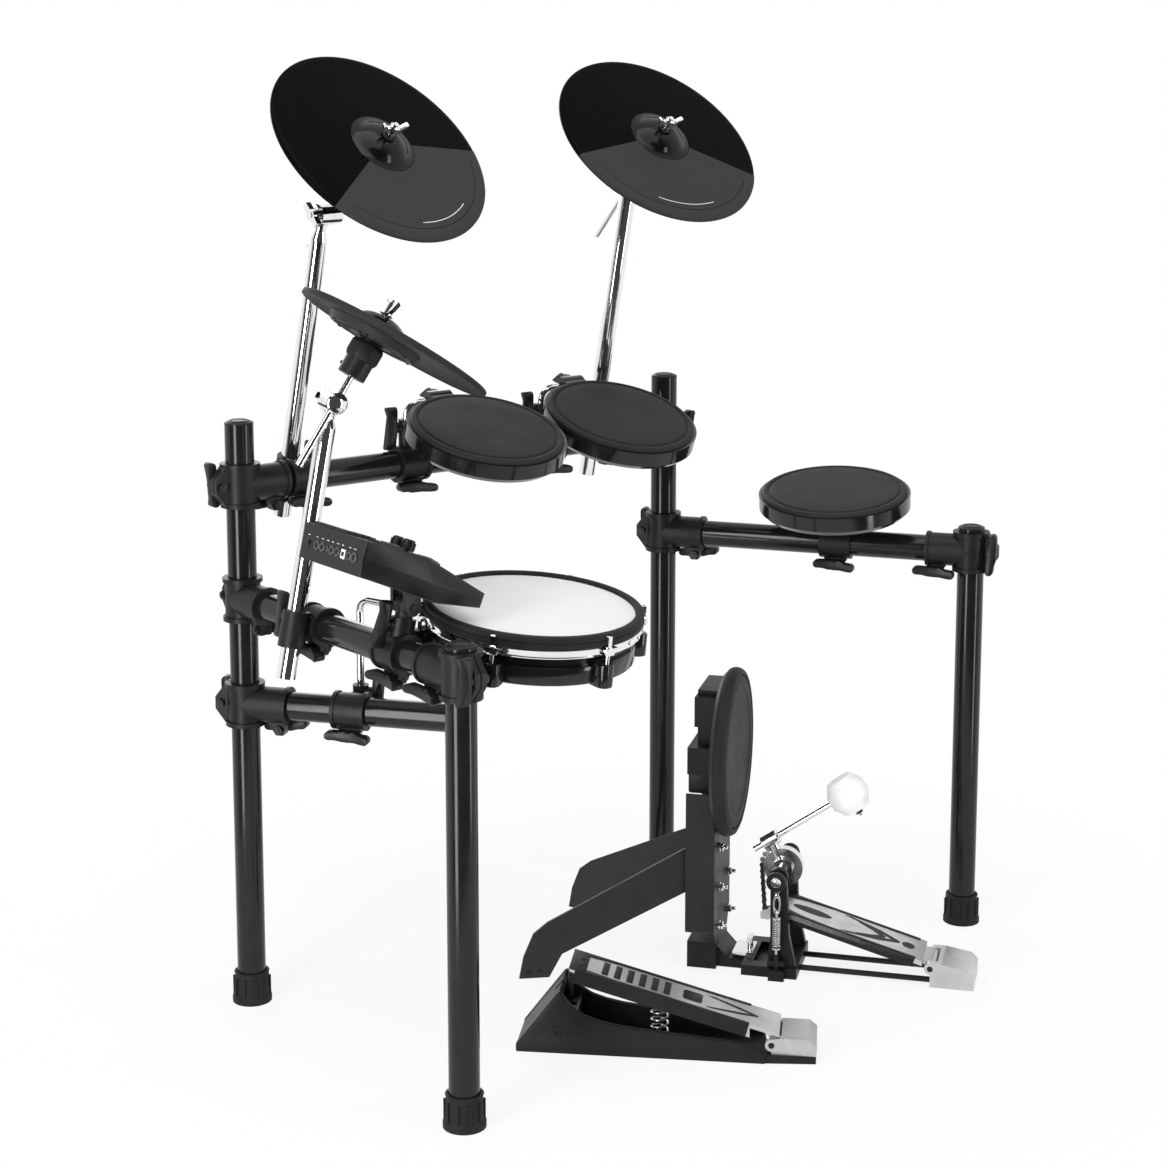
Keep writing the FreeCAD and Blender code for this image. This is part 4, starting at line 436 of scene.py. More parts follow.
class Form:
    """Mesh in local millimetres, built up by mesh operators and ended as a piece."""

    def __init__(self) -> None:
        """Start empty."""
        self.bm = bmesh.new()

    def outward(self) -> "Form":
        """Turn every face outward."""
        bmesh.ops.recalc_face_normals(self.bm, faces=self.bm.faces[:])
        return self

    def fill(self, sides: int) -> None:
        """Fill the open ends that have up to a number of sides."""
        open_edges = [edge for edge in self.bm.edges if edge.is_boundary]
        bmesh.ops.holes_fill(self.bm, edges=open_edges, sides=sides)

    def round_over(self, edges: list[Edge], width: float, segments: int = 2) -> list[Vert]:
        """Round edges over.

        Args:
            edges: The edges.
            width: Width of the rounded edge.
            segments: Steps across it.

        Returns:
            Every vertex of the rounded shapes.
        """
        made = bmesh.ops.bevel(self.bm, geom=edges, offset=width, offset_type="OFFSET", affect="EDGES",
                               segments=segments, profile=0.5, material=-1, clamp_overlap=True)
        return linked(made["verts"])

    def soften(self, width: float, angle: float = BEVEL_ANGLE) -> "Form":
        """Round over every sharp edge.

        Args:
            width: Width of the rounded edge.
            angle: Least angle between the faces, in radians.

        Returns:
            The form itself.
        """
        edges = [edge for edge in self.bm.edges if edge.is_manifold and edge.calc_face_angle(0.0) > angle]
        self.round_over(edges, width)
        return self

    def moved(self, place: Matrix) -> "Form":
        """Move the whole form into a frame."""
        bmesh.ops.transform(self.bm, matrix=place, verts=self.bm.verts[:])
        return self

    def bridge(self, loops: list[set[Edge]]) -> None:
        """Join each loop of edges to the next."""
        for one, two in zip(loops, loops[1:]):
            bmesh.ops.bridge_loops(self.bm, edges=list(one | two))

    def lathe(self, profile: list[Pair], segments: int = SEGMENTS, start: float = 0.0, sweep: float = 360.0) -> "Form":
        """Turn a profile of radius and height about local Z.

        Args:
            profile: Points of the profile, in order.
            segments: Steps of a full turn.
            start: Angle of the first profile, in degrees.
            sweep: Angle that it is turned through; under 360 the profile is a closed outline and its ends are filled.

        Returns:
            The form itself.
        """
        whole = sweep >= 360.0
        way = heading(start)
        verts = [self.bm.verts.new((way.x * r, way.y * r, z)) for r, z in profile]
        edges = [self.bm.edges.new(pair) for pair in zip(verts, verts[1:])]
        if not whole:
            edges.append(self.bm.edges.new((verts[-1], verts[0])))
        bmesh.ops.spin(self.bm, geom=verts + edges, cent=(0, 0, 0), axis=UP, angle=math.radians(sweep),
                       steps=max(3, round(segments * sweep / 360.0)), use_merge=whole)
        bmesh.ops.remove_doubles(self.bm, verts=self.bm.verts[:], dist=MERGE_DISTANCE)
        if not whole:
            self.fill(len(profile))
        return self.outward()

    def stack(self, rings: list[Triple], segments: int = SEGMENTS) -> "Form":
        """Join a closed stack of level rings whose centres may shift along local Y.

        Args:
            rings: Radius, height and shift of each ring; the last joins the first.
            segments: Sides of each ring.

        Returns:
            The form itself.
        """
        loops = []
        for radius, height, shift in rings:
            made = bmesh.ops.create_circle(self.bm, cap_ends=False, radius=radius, segments=segments,
                                           matrix=Matrix.Translation((0, shift, height)))
            loops.append(edges_of(made["verts"]))
        self.bridge(loops + loops[:1])
        return self.outward()

    def loft(self, outlines: list[list[Triple]]) -> "Form":
        """Join closed outlines in space, each to the next, and fill the two ends.

        Args:
            outlines: Corners of each outline, in order.

        Returns:
            The form itself.
        """
        loops = []
        for outline in outlines:
            verts = [self.bm.verts.new(corner) for corner in outline]
            loops.append({self.bm.edges.new(pair) for pair in zip(verts, verts[1:] + verts[:1])})
        self.bridge(loops)
        self.fill(len(outlines[0]))
        return self.outward()

    def plate(self, outline: list[Pair], low: float, high: float, rounding: float = 0.0,
              place: Matrix | None = None) -> "Form":
        """Extrude an outline in local XY, with its edges rounded over.

        Args:
            outline: Corners in order.
            low: Height of the lower face.
            high: Height of the upper face.
            rounding: Width of the rounded edges.
            place: Frame of the outline.

        Returns:
            The form itself.
        """
        verts = [self.bm.verts.new((x, y, low)) for x, y in outline]
        made = bmesh.ops.extrude_face_region(self.bm, geom=[self.bm.faces.new(verts)])["geom"]
        raised = [part for part in made if isinstance(part, Vert)]
        bmesh.ops.translate(self.bm, verts=raised, vec=(0, 0, high - low))
        verts += raised
        bmesh.ops.recalc_face_normals(self.bm, faces=list({face for vert in verts for face in vert.link_faces}))
        if rounding:
            sharp = [edge for edge in edges_of(verts) if edge.calc_face_angle(0.0) > BEVEL_ANGLE]
            verts = self.round_over(sharp, rounding)
        if place is not None:
            bmesh.ops.transform(self.bm, matrix=place, verts=verts)
        return self

    def twins(self, outline: list[Pair], low: float, high: float, rounding: float = 0.0) -> "Form":
        """Add a plate on either side of local X.

        Args:
            outline: Corners of one side, in order.
            low: Height of the lower face.
            high: Height of the upper face.
            rounding: Width of the rounded edges.

        Returns:
            The form itself.
        """
        for side in (-1, 1):
            self.plate([(x, side * y) for x, y in outline][::-side], low, high, rounding)
        return self

    def drum(self, radius: float, low: float, high: float, segments: int = 32, tip: float | None = None,
             place: Matrix | None = None, rounding: float = 0.0) -> "Form":
        """Add a capped cylinder or cone along local Z.

        Args:
            radius: Radius at the low end.
            low: Height of the low end.
            high: Height of the high end.
            segments: Number of sides.
            tip: Radius at the high end, if it differs.
            place: Frame of the cylinder.
            rounding: Width of the rounded rims.

        Returns:
            The form itself.
        """
        made = bmesh.ops.create_cone(self.bm, cap_ends=True, segments=segments, radius1=radius,
                                     radius2=radius if tip is None else tip, depth=high - low,
                                     matrix=Matrix.Translation((0, 0, (low + high) / 2)))
        verts = made["verts"]
        if rounding:
            rims = [edge for edge in edges_of(verts) if abs(edge.verts[0].co.z - edge.verts[1].co.z) < LEVEL]
            verts = self.round_over(rims, rounding, 3)
        if place is not None:
            bmesh.ops.transform(self.bm, matrix=place, verts=verts)
        return self

    def coil(self, radius: float, wire: float, pitch: float, turns: float, low: float) -> "Form":
        """Wind a round wire about local Z.

        Args:
            radius: Radius of the coil at the wire's centre.
            wire: Radius of the wire.
            pitch: Rise of each turn.
            turns: Number of turns.
            low: Height of the first turn.

        Returns:
            The form itself.
        """
        made = bmesh.ops.create_circle(self.bm, cap_ends=False, radius=wire, segments=WIRE_SIDES,
                                       matrix=Matrix.Translation((radius, 0, low)) @ STAND)
        steps = round(COIL_SEGMENTS * turns)
        bmesh.ops.spin(self.bm, geom=made["verts"] + list(edges_of(made["verts"])), cent=(0, 0, 0), axis=UP,
                       dvec=(0, 0, pitch * turns / steps), angle=math.tau * turns, steps=steps, use_merge=False)
        self.fill(WIRE_SIDES)
        return self.outward()

    def add(self, other: "Form", place: Matrix) -> "Form":
        """Add another form, which is used up.

        Args:
            other: Form to add.
            place: Its frame.

        Returns:
            The form itself.
        """
        carried = bpy.data.meshes.new("carried")
        other.moved(place).bm.to_mesh(carried)
        other.bm.free()
        self.bm.from_mesh(carried)
        bpy.data.meshes.remove(carried)
        return self

    def piece(self, name: str, place: Matrix, body: str, finish: Finish, stands_for: str = "",
              slot: str = "") -> bpy.types.Object:
        """End the form as a finished piece that rides on a body.

        Args:
            name: Name of the piece.
            place: Matrix to the row frame.
            body: Body that it moves with.
            finish: Its finish.
            stands_for: CAD node that it replaces.
            slot: The record's slot, if it isn't the finish's own; not used.

        Returns:
            The new object.
        """
        mesh = bpy.data.meshes.new(name)
        self.moved(place).bm.to_mesh(mesh)
        self.bm.free()
        mesh.shade_smooth()
        mesh.set_sharp_from_angle(angle=SHARP_ANGLE)
        mesh.materials.append(finish.material())
        made = bpy.data.objects.new(name, mesh)
        bpy.context.scene.collection.objects.link(made)
        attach(made, body)
        if stands_for:
            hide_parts(stands_for)
        LOG.info("piece %s on %s, %d faces", name, body, len(mesh.polygons))
        return made


def dress(finish: Finish, *nodes: str) -> None:
    """Give CAD nodes a finish.

    Args:
        finish: The finish.
        nodes: Names of the nodes.
    """
    for name in nodes:
        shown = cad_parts[name]
        if not shown.material_slots:
            shown.data.materials.append(finish.material())
        for place in shown.material_slots:
            place.material = finish.material()
        LOG.info("node %s in %s", name, finish.name)


@dataclass
class Cymbal:
    """Rubber cymbal pad with its bell, playing zone, vented housing and washers."""

    name: str
    origin: Triple
    along: Triple
    normal: Triple
    radius: float
    shift: float = 0.0
    zone: Pair | None = None
    mark: Triple | None = None
    sleeve: Pair | None = None
    knuckle: float = 107.0
    ribs: int = 20
    screws: int = 6

    def finish(self, form: Form, label: str, look: Finish, on: str = "pad", stands_for: str = "",
               slot: str = "") -> None:
        """End a form as a piece of this cymbal, in the frame of the hole on the plane of the edge.

        Args:
            form: The form.
            label: Name of the piece, without the cymbal's name before it.
            look: Its finish.
            on: Body that it moves with, pad or boom.
            stands_for: CAD node that it replaces.
            slot: The record's slot, if it isn't the finish's own.
        """
        place = rack_place(self.origin, self.along, self.normal)
        form.piece(f"{self.name}_{label}", place, f"{self.name}_{on}", look, stands_for, slot)

    def build(self) -> None:
        """Model the pad, the bell, the housing and the washers."""
        edge, shift = self.radius, self.shift
        rim = [(edge - 16, -7.2), (edge - 14, -8), (edge - 3, -8), (edge - 0.8, -7.2), (edge, -5.4), (edge, -2.8),
               (edge - 0.4, -1.7), (edge - 1.3, -0.8), (edge - 3.4, 0), (edge - 9, 0.25)]
        rings = [(22, -7.2, 0.0)] + [(r, z, shift) for r, z in rim]
        for share in (0.3, 0.6, 0.85):
            rings.append((edge - 9 - (edge - 53) * share, 0.25 + 3.45 * share ** 0.9, shift * (1 - share)))
        rings += [(42, 3.85, 0.0), (22, 4, 0.0)]
        skin = Palette.CYMBAL_GLOSS if self.zone else Palette.PAD_RUBBER
        self.finish(Form().stack(rings), "skin", skin, stands_for=self.name + "_pad", slot="cymbal_rubber")
        bell = Form().lathe([
            (9, 5), (8.4, 16.8), (8.9, 17.7), (10, 18), (16, 17.3), (21, 15.9), (26, 13.6), (30.5, 10.8), (34.5, 7.6),
            (37.2, 5.7), (40, 4.8), (45, 3.9), (45.4, 3.2), (44, 2.4), (20, 2.4), (9, 5)])
        self.finish(bell, "bell", Palette.BELL_GLOSS)
        self.build_housing()
        if self.zone:
            self.build_zone()
        washer = Form().lathe([(3.7, 19.4), (8.6, 19.4), (9.2, 19.8), (8.8, 20.4), (3.7, 20.4), (3.7, 19.4)], 48)
        self.finish(washer, "washer", Palette.RUBBER, "boom")
        if self.sleeve:
            self.build_sleeve()
        self.build_knuckle()

    def build_housing(self) -> None:
        """Model the tray under the pad, with ribs between its vents, and its screws."""
        tray = Form().lathe([
            (19, -6.5), (63.5, -6.5), (63.5, -8.2), (62.4, -9.2), (59.6, -16.6), (58.4, -17.7), (56.5, -18),
            (53, -18), (52, -16), (31, -16), (30, -18), (21, -18), (19, -17), (19, -6.5)])
        for index in range(self.ribs):
            spot = Matrix.Rotation(math.tau * index / self.ribs, 4, "Z")
            tray.plate(rect(30.5, 52.5, -1.6, 1.6), -17.9, -15.6, 0.5, spot)
        self.finish(tray, "housing", Palette.CYMBAL_UNDER)
        heads = Form()
        for index in range(self.screws):
            turn = Matrix.Rotation(math.tau * (index + 0.5) / self.screws, 4, "Z")
            heads.drum(2.6, -18.9, -17.4, 20, place=turn @ Matrix.Translation((57, 0, 0)), rounding=0.5)
        self.finish(heads, "housing_screws", Palette.BOLT)

    def zone_arc(self, ring: float, width: float, rises: Pair, start: float, stop: float) -> Form:
        """Thin arc on the playing zone.

        Args:
            ring: Inner radius.
            width: Width of the arc.
            rises: Heights above the zone at the inner and the outer edge.
            start: Angle where it starts, in degrees.
            stop: Angle where it stops.

        Returns:
            The arc's form.
        """
        top = 0.62 + 3.33 * (self.radius - 9 - ring) / (self.radius - 54.8)
        outer, base = ring + width, top - 0.1
        profile = [(ring, base), (ring, top + rises[0]), (outer, top + rises[1]), (outer, base)]
        return Form().lathe(profile, ZONE_SEGMENTS, start, stop - start)

    def build_zone(self) -> None:
        """Model the matt playing zone with its arc groove, and the short printed arc."""
        edge, (first, last) = self.radius, self.zone
        upper = [(45.8, 3.95), (edge - 9, 0.62), (edge - 3.3, 0.36), (edge - 1.1, -0.5), (edge - 0.05, -1.5),
                 (edge + 0.35, -2.8), (edge + 0.35, -5.2)]
        lower = [(edge - 0.6, -5.2), (edge - 0.6, -2.9), (edge - 3.8, -0.5), (edge - 9, -0.3), (45.8, 3.1)]
        self.finish(Form().lathe(upper + lower, ZONE_SEGMENTS, first, last - first), "zone", Palette.ZONE_RUBBER)
        groove = self.zone_arc(edge - 17.0, 0.7, (0.06, 0.03), first + 8, last - 8)
        self.finish(groove, "zone_groove", Palette.CYMBAL_GLOSS)
        begin, end, ring = self.mark
        mark = self.zone_arc(ring, 1.1, (0.08, 0.05), begin, end)
        self.finish(mark, "zone_mark", Palette.MARK, slot="cymbal_rubber")

    def build_sleeve(self) -> None:
        """Model the faceted sleeve block under the seat, and the tube through it."""
        low, high = self.sleeve
        block = Form().lathe([
            (7, high - 18), (21, high - 18), (23.4, high - 13), (23.4, high + 2), (21, high + 6), (7, high + 6),
            (7, high - 18)], 8)
        self.finish(block.soften(0.9), "sleeve_block", Palette.MOULDING, "boom")
        tube = Form().lathe([
            (7, low - 0.8), (17.2, low - 0.8), (18.3, low + 0.4), (18.3, high - 17), (7, high - 17), (7, low - 0.8)
        ], 48)
        tube.lathe([(12.3, high + 5), (15.4, high + 5), (14.8, high + 12), (12.3, high + 12.6), (12.3, high + 5)], 48)
        self.finish(tube, "sleeve_tube", Palette.BOLT, "boom", slot="black_moulding")

    def build_knuckle(self) -> None:
        """Model the domed cap of the tilter and the wings of the nut over the pad."""
        cap = Form().lathe([(0, 4.4), (4, 4.2), (8, 3.2), (11.2, 1.6), (13.4, 0.2), (13.8, -0.6), (0, -0.6)], 48)
        cap.moved(Matrix.Translation((7.75, 0, -self.knuckle)) @ FACE_X)
        wing = [(5, 22.4), (10, 23.6), (15.5, 28.6), (20, 36), (21, 39.6), (18.6, 41.2), (14, 38), (9, 33), (5, 32)]
        for side in (1, -1):
            cap.plate([(side * x, z) for x, z in wing][::side], -3, 3, 1.0, STAND)
        self.finish(cap, "tilter_cap_and_wings", Palette.CHROME, "boom")

    def dress(self) -> None:
        """Finish the CAD arm and boom."""
        dress(Palette.CHROME, self.name + "_arm", self.name + "_boom")


@dataclass
class TomPad:
    """Tom pad: moulded dish with a rubber face."""

    name: str
    centre: Triple
    uphill: float
    tilt: float
    face_radius: float = 106.0

    def build(self) -> None:
        """Model the rubber face: a raised disc inside a groove and a rolled edge."""
        r = self.face_radius
        face = Form().lathe([
            (0, 0), (30, 0), (60, 0), (r - 15, 0), (r - 13.4, -0.3), (r - 12.6, -1), (r - 12, -2.2), (r - 10.8, -2.7),
            (r - 9.4, -2.3), (r - 8.6, -1.2), (r - 7.2, -0.6), (r - 5, -0.5), (r - 3, -0.9), (r - 1.4, -2),
            (r - 0.3, -3.6), (r, -5.6), (r, -12), (0, -12)], FINE_SEGMENTS)
        face.piece(self.name + "_face", tilted(self.centre, self.uphill, self.tilt), self.name, Palette.PAD_RUBBER,
                   self.name + "_rubber")

    def dress(self) -> None:
        """Finish the CAD dish."""
        dress(Palette.SHELL, self.name + "_shell")


@dataclass
class SnarePad:
    """Snare pad: mesh head stretched under a rubber hoop, held by claws and tension rods."""

    centre: Triple = (-161.0, -107.0, 596.0)
    head_radius: float = 127.0
    hoop: Pair = (127.3, 138.5)
    bracket: float = 104.5
    tilt: float = 6.0
    lugs: int = 6
    first_lug: float = 20.0
    rods: float = 140.8

    def place(self) -> Matrix:
        """Frame on the head, with local Y towards the bracket."""
        return tilted(self.centre, self.bracket, self.tilt)

    def build(self) -> None:
        """Model the head, the hoop, the ring with its rods and the lugs."""
        r = self.head_radius
        head = Form().lathe([(0, -0.55), (30, -0.53), (60, -0.5), (90, -0.46), (115, -0.42), (r, -0.4)],
                            FINE_SEGMENTS).piece("snare_mesh_head", self.place(), "snare", Palette.MESH, "snare_head")
        low, high = self.hoop
        hoop = Form().lathe([
            (low, -11.6), (low, 2.2), (low + 0.6, 3.4), (low + 1.8, 4), (high - 3.6, 4), (high - 1.8, 3.4),
            (high - 0.6, 1.8), (high - 0.2, -2.4), (high - 1, -3), (high - 1, -4), (high, -4.6), (high, -10.4),
            (high - 1.2, -11.6), (low, -11.6)], FINE_SEGMENTS)
        hoop.piece("snare_rubber_hoop", self.place(), "snare", Palette.RUBBER, "snare_hoop")
        self.build_ring()
        self.build_lugs()

    def lug_places(self) -> list[Matrix]:
        """Frames of the lugs, each with local X outward."""
        step = 360.0 / self.lugs
        return [Matrix.Rotation(math.radians(self.first_lug + step * k), 4, "Z") for k in range(self.lugs)]

    def build_ring(self) -> None:
        """Model the chrome ring with its claws, rods and square rod heads."""
        ring = Form().lathe([
            (126.6, -11.9), (137, -11.9), (137.7, -12.6), (137.6, -14), (136.4, -17.4), (136, -20.6), (136.8, -21.8),
            (136.4, -23), (135.2, -23.4), (134.2, -22.6), (133.6, -18.4), (126.6, -17.6), (126.6, -11.9)
        ], FINE_SEGMENTS)
        claw = [(-13, -12.4), (-8.2, -17.6), (-6.6, -21.6), (6.6, -21.6), (8.2, -17.6), (13, -12.4)]
        outward = Matrix(((0, 0, 1, 0), (1, 0, 0, 0), (0, 1, 0, 0), (0, 0, 0, 1)))
        for turn in self.lug_places():
            ring.plate(claw, 134.5, self.rods + 4.6, 0.9, turn @ outward)
            spot = turn @ Matrix.Translation((self.rods, 0, 0))
            ring.drum(2.7, -44, -21, 20, place=spot)
            ring.drum(4.8, -12.6, -10.8, 24, place=spot, rounding=0.4)
            ring.drum(4.1, -11, 2.2, 4, place=spot @ Matrix.Rotation(0.785, 4, "Z"), rounding=0.6)
        ring.piece("snare_ring_and_rods", self.place(), "snare", Palette.CHROME, "snare_rods")

    def build_lugs(self) -> None:
        """Model the stepped skirt of the shell and its box lugs."""
        skirt = Form().lathe([
            (124, -36), (129.6, -36), (130.8, -37), (131, -39), (131, -56), (130, -58.4), (127.6, -59.8), (124, -60),
            (124, -36)], FINE_SEGMENTS)
        lug = [(122, -11), (139, -11), (145, -8.6), (148, -4), (148, 4), (145, 8.6), (139, 11), (122, 11)]
        for turn in self.lug_places():
            skirt.plate(lug, -62, -33, 1.4, turn)
        skirt.piece("snare_skirt_and_lugs", self.place(), "snare", Palette.SHELL)

    def dress(self) -> None:
        """Finish the CAD shell."""
        dress(Palette.SHELL, "snare_shell")


@dataclass
class KickUnit:
    """Kick tower and its pedal, in a frame with local X towards the heel."""

    origin: Triple = (251.7, -1.6, 0.0)
    turn: float = -51.0
    pad_height: float = 305.0
    pad_face: float = 15.0
    pad_radius: float = 108.0
    axle: Pair = (80.0, 144.0)
    holder: Pair = (61.0, 181.0)
    beater: Pair = (168.0, 256.0)
    beater_radius: float = 28.5
    beater_half: float = 25.0
    toe: Pair = (81.0, 92.0)
    plate_end: Pair = (279.0, 37.3)
    plate_half: float = 37.5
    spring_spot: Pair = (80.0, -59.5)

    def place(self) -> Matrix:
        """Frame of the whole unit."""
        return rack_place(self.origin, heading(self.turn), UP)

    def build(self) -> None:
        """Model the pad face, the beater, the spring, the tread of the footplate and the fasteners."""
        self.build_pad()
        self.build_beater()
        self.build_spring()
        self.build_tread()
        self.build_bearings()
        self.build_neck()
        self.build_screws()

    def build_pad(self) -> None:
        """Model the rubber face of the pad, its outer ring proud of the middle, and the bead round it."""
        r = self.pad_radius
        spot = self.place() @ Matrix.Translation((self.pad_face, 0, self.pad_height)) @ FACE_X
        face = Form().lathe([
            (0, -1.4), (40, -1.4), (r - 22, -1.4), (r - 20, -1.1), (r - 18.4, -0.3), (r - 16, 0), (r - 8, 0.1),
            (r - 4, -0.5), (r - 1.4, -2.1), (r - 0.2, -4.6), (r, -7), (r, -12), (0, -12)], FINE_SEGMENTS)
        face.piece("kick_pad_face", spot, "rack", Palette.PAD_RUBBER, "kick_pad_rubber")
        bead = Form().lathe([
            (r - 0.4, -5.6), (r - 0.2, -1.6), (r + 1.2, 0), (r + 3.4, 0.2), (r + 6, -1), (r + 8.2, -3.6),
            (r + 9.6, -7.2), (r + 10, -11), (r + 9.4, -14.6), (r + 7.8, -17.6), (r + 5.4, -18.6), (r + 5, -5.6),
            (r - 0.4, -5.6)], FINE_SEGMENTS)
        bead.piece("kick_pad_bead", spot, "rack", Palette.PAD_RUBBER)

    def build_beater(self) -> None:
        """Model the felt with its washer and nut, local X along the rod and local Z towards the pad."""
        r, half = self.beater_radius, self.beater_half
        spot = sloped(self.place(), self.beater, self.holder, self.beater)
        felt = Form().lathe([
            (0, -half), (15, -half), (18.5, -half + 0.8), (r - 3.4, -14), (r - 0.9, -10.4), (r, -7.5), (r, 7.5),
            (r - 0.9, 10.4), (r - 3.4, 14), (18.5, half - 0.8), (15, half), (0, half)], 64)
        felt.piece("beater_felt_head", spot, "beater", Palette.FELT, "beater_head")
        nut = Form().lathe([
            (0, -half - 1.4), (9.4, -half - 1.4), (10, -half - 0.8), (10, -half + 0.2), (0, -half + 0.2)], 40)
        nut.drum(6.4, -half - 6, -half - 1.2, 6, rounding=0.5)
        nut.drum(3.4, -half - 10, -half - 5, 20, rounding=0.6)
        nut.piece("beater_nut", spot, "beater", Palette.CHROME)

    def build_spring(self) -> None:
        """Model the return spring with its cups, shanks, hook and eye."""
        spring = Form().coil(5.0, 1.1, 3.1, 13, 48)
        for low, high, radius in ((44.4, 46.8, 6.3), (88.6, 91.2, 6.3), (36, 46, 1.9), (90, 97, 1.9)):
            spring.drum(radius, low, high, 24, rounding=0.3)
        eye = Form().lathe([(2.4, -1.9), (4.1, -1.9), (4.5, -1.4), (4.5, 1.4), (4.1, 1.9), (2.4, 1.9), (2.4, -1.9)], 32)
        spring.add(eye, Matrix.Translation((0, 0, 129)) @ STAND)
        wire = oval(4.2, 1.2, 1.2, WIRE_SIDES)
        hook = Form().lathe(wire + wire[:1], 40)
        spring.add(hook, Matrix.Translation((0, 0, 109)) @ STAND @ Matrix.Diagonal((1.0, 3.0, 1.0, 1.0)))
        spot = self.place() @ Matrix.Translation((*self.spring_spot, 0))
        spring.piece("return_spring", spot, "pedal_spring", Palette.SPRING, "pedal_spring")

    def build_tread(self) -> None:
        """Model the black side rails, the chevrons, the drop and the dot of the footplate."""
        half = self.plate_half
        spot = sloped(self.place(), self.toe, self.toe, self.plate_end)
        rail = [(1, half), (196, half), (196, half - 6), (70, half - 5), (30, half - 9), (1, half - 17)]
        Form().twins(rail, -13, 1.2, 0.8).piece("kick_tread_rails", spot, "kick_footplate", Palette.INLAY)
        marks = Form().plate(oval(42, -28, 9.6), -0.3, 0.35).plate(oval(182, 9, 9), -0.3, 0.35)
        marks.twins([(86, 28), (97, 28.6), (140, 17.4), (168, 3.4), (170, 0.3), (158, 0.3), (134, 12)], -0.3, 0.4)
        marks.twins([(108, 19), (116, 19.6), (136, 11), (148, 2.6), (149, 0.3), (140, 0.3), (129, 8.4)], -0.3, 0.4)
        marks.piece("kick_tread_marks", spot, "kick_footplate", Palette.INLAY)

    def build_bearings(self) -> None:
        """Model the round knobs at the ends of the axle and their bright screws."""
        knobs, screws = Form(), Form()
        for y, turn in ((-64.2, math.pi / 2), (54.2, -math.pi / 2)):
            spot = Matrix.Translation((self.axle[0], y, self.axle[1])) @ Matrix.Rotation(turn, 4, "X")
            knob = [(0, 0), (13, 0), (13.8, 0.8), (13.8, 4.4), (12.6, 5.6), (8.4, 5.8), (7.8, 4.8), (0, 4.8)]
            knobs.add(Form().lathe(knob, 48), spot)
            screws.drum(7, 4.6, 6.4, 32, place=spot, rounding=0.5).drum(3.4, 6, 8, 6, place=spot, rounding=0.4)
        knobs.piece("axle_knobs", self.place(), "beater", Palette.BOLT)
        screws.piece("axle_screws", self.place(), "beater", Palette.CHROME)

    def build_neck(self) -> None:
        """Model the neck between the tower and the pad, and the bolt tips on the tower."""
        neck = Form().plate(rect(-48, -9, -50, 50), 256, 289, 3)
        neck.piece("pad_neck", self.place(), "rack", Palette.MOULDING)
        tips = Form()
        for z in (62, 118, 176):
            for y in (-34, 34):
                spot = Matrix.Translation((-4, y, z)) @ FACE_X
                tips.drum(5.6, -0.4, 4.4, 6, place=spot, rounding=0.5).drum(2.9, 4, 10, 20, place=spot, rounding=0.5)
        tips.piece("tower_bolt_tips", self.place(), "rack", Palette.CHROME)

    def build_screws(self) -> None:
        """Model the screw heads at the feet of the legs."""
        heads = Form()
        for side in (-1, 1):
            out = heading(180 - side * 22)
            across = Vector((out.y, -out.x, 0)) * side
            turn = across.to_track_quat("Z", "Y").to_matrix().to_4x4()
            for reach in (206, 222):
                spot = Vector((-49, side * 54, 9)) + out * reach + across * 2
                heads.drum(3.6, -0.4, 1.6, 20, tip=2.9, place=Matrix.Translation(spot) @ turn)
        heads.piece("leg_screws", self.place(), "rack", Palette.BOLT)

    def dress(self) -> None:
        """Finish the CAD nodes of the tower and the pedal."""
        dress(Palette.POWDER, "tower_plate", "tower_legs")
        dress(Palette.MOULDING, "tower_base", "kick_pad_shell", "pedal_base", "pedal_uprights")
        dress(Palette.CHROME, "tower_bolts", "beater_rod")
        dress(Palette.SATIN_ROD, "hoop_clamp", "pedal_axle")
        dress(Palette.BOLT, "radius_rods")
        dress(Palette.CAST, "kick_footplate", "kick_heel_block")
        dress(Palette.CHAIN, "pedal_chain")


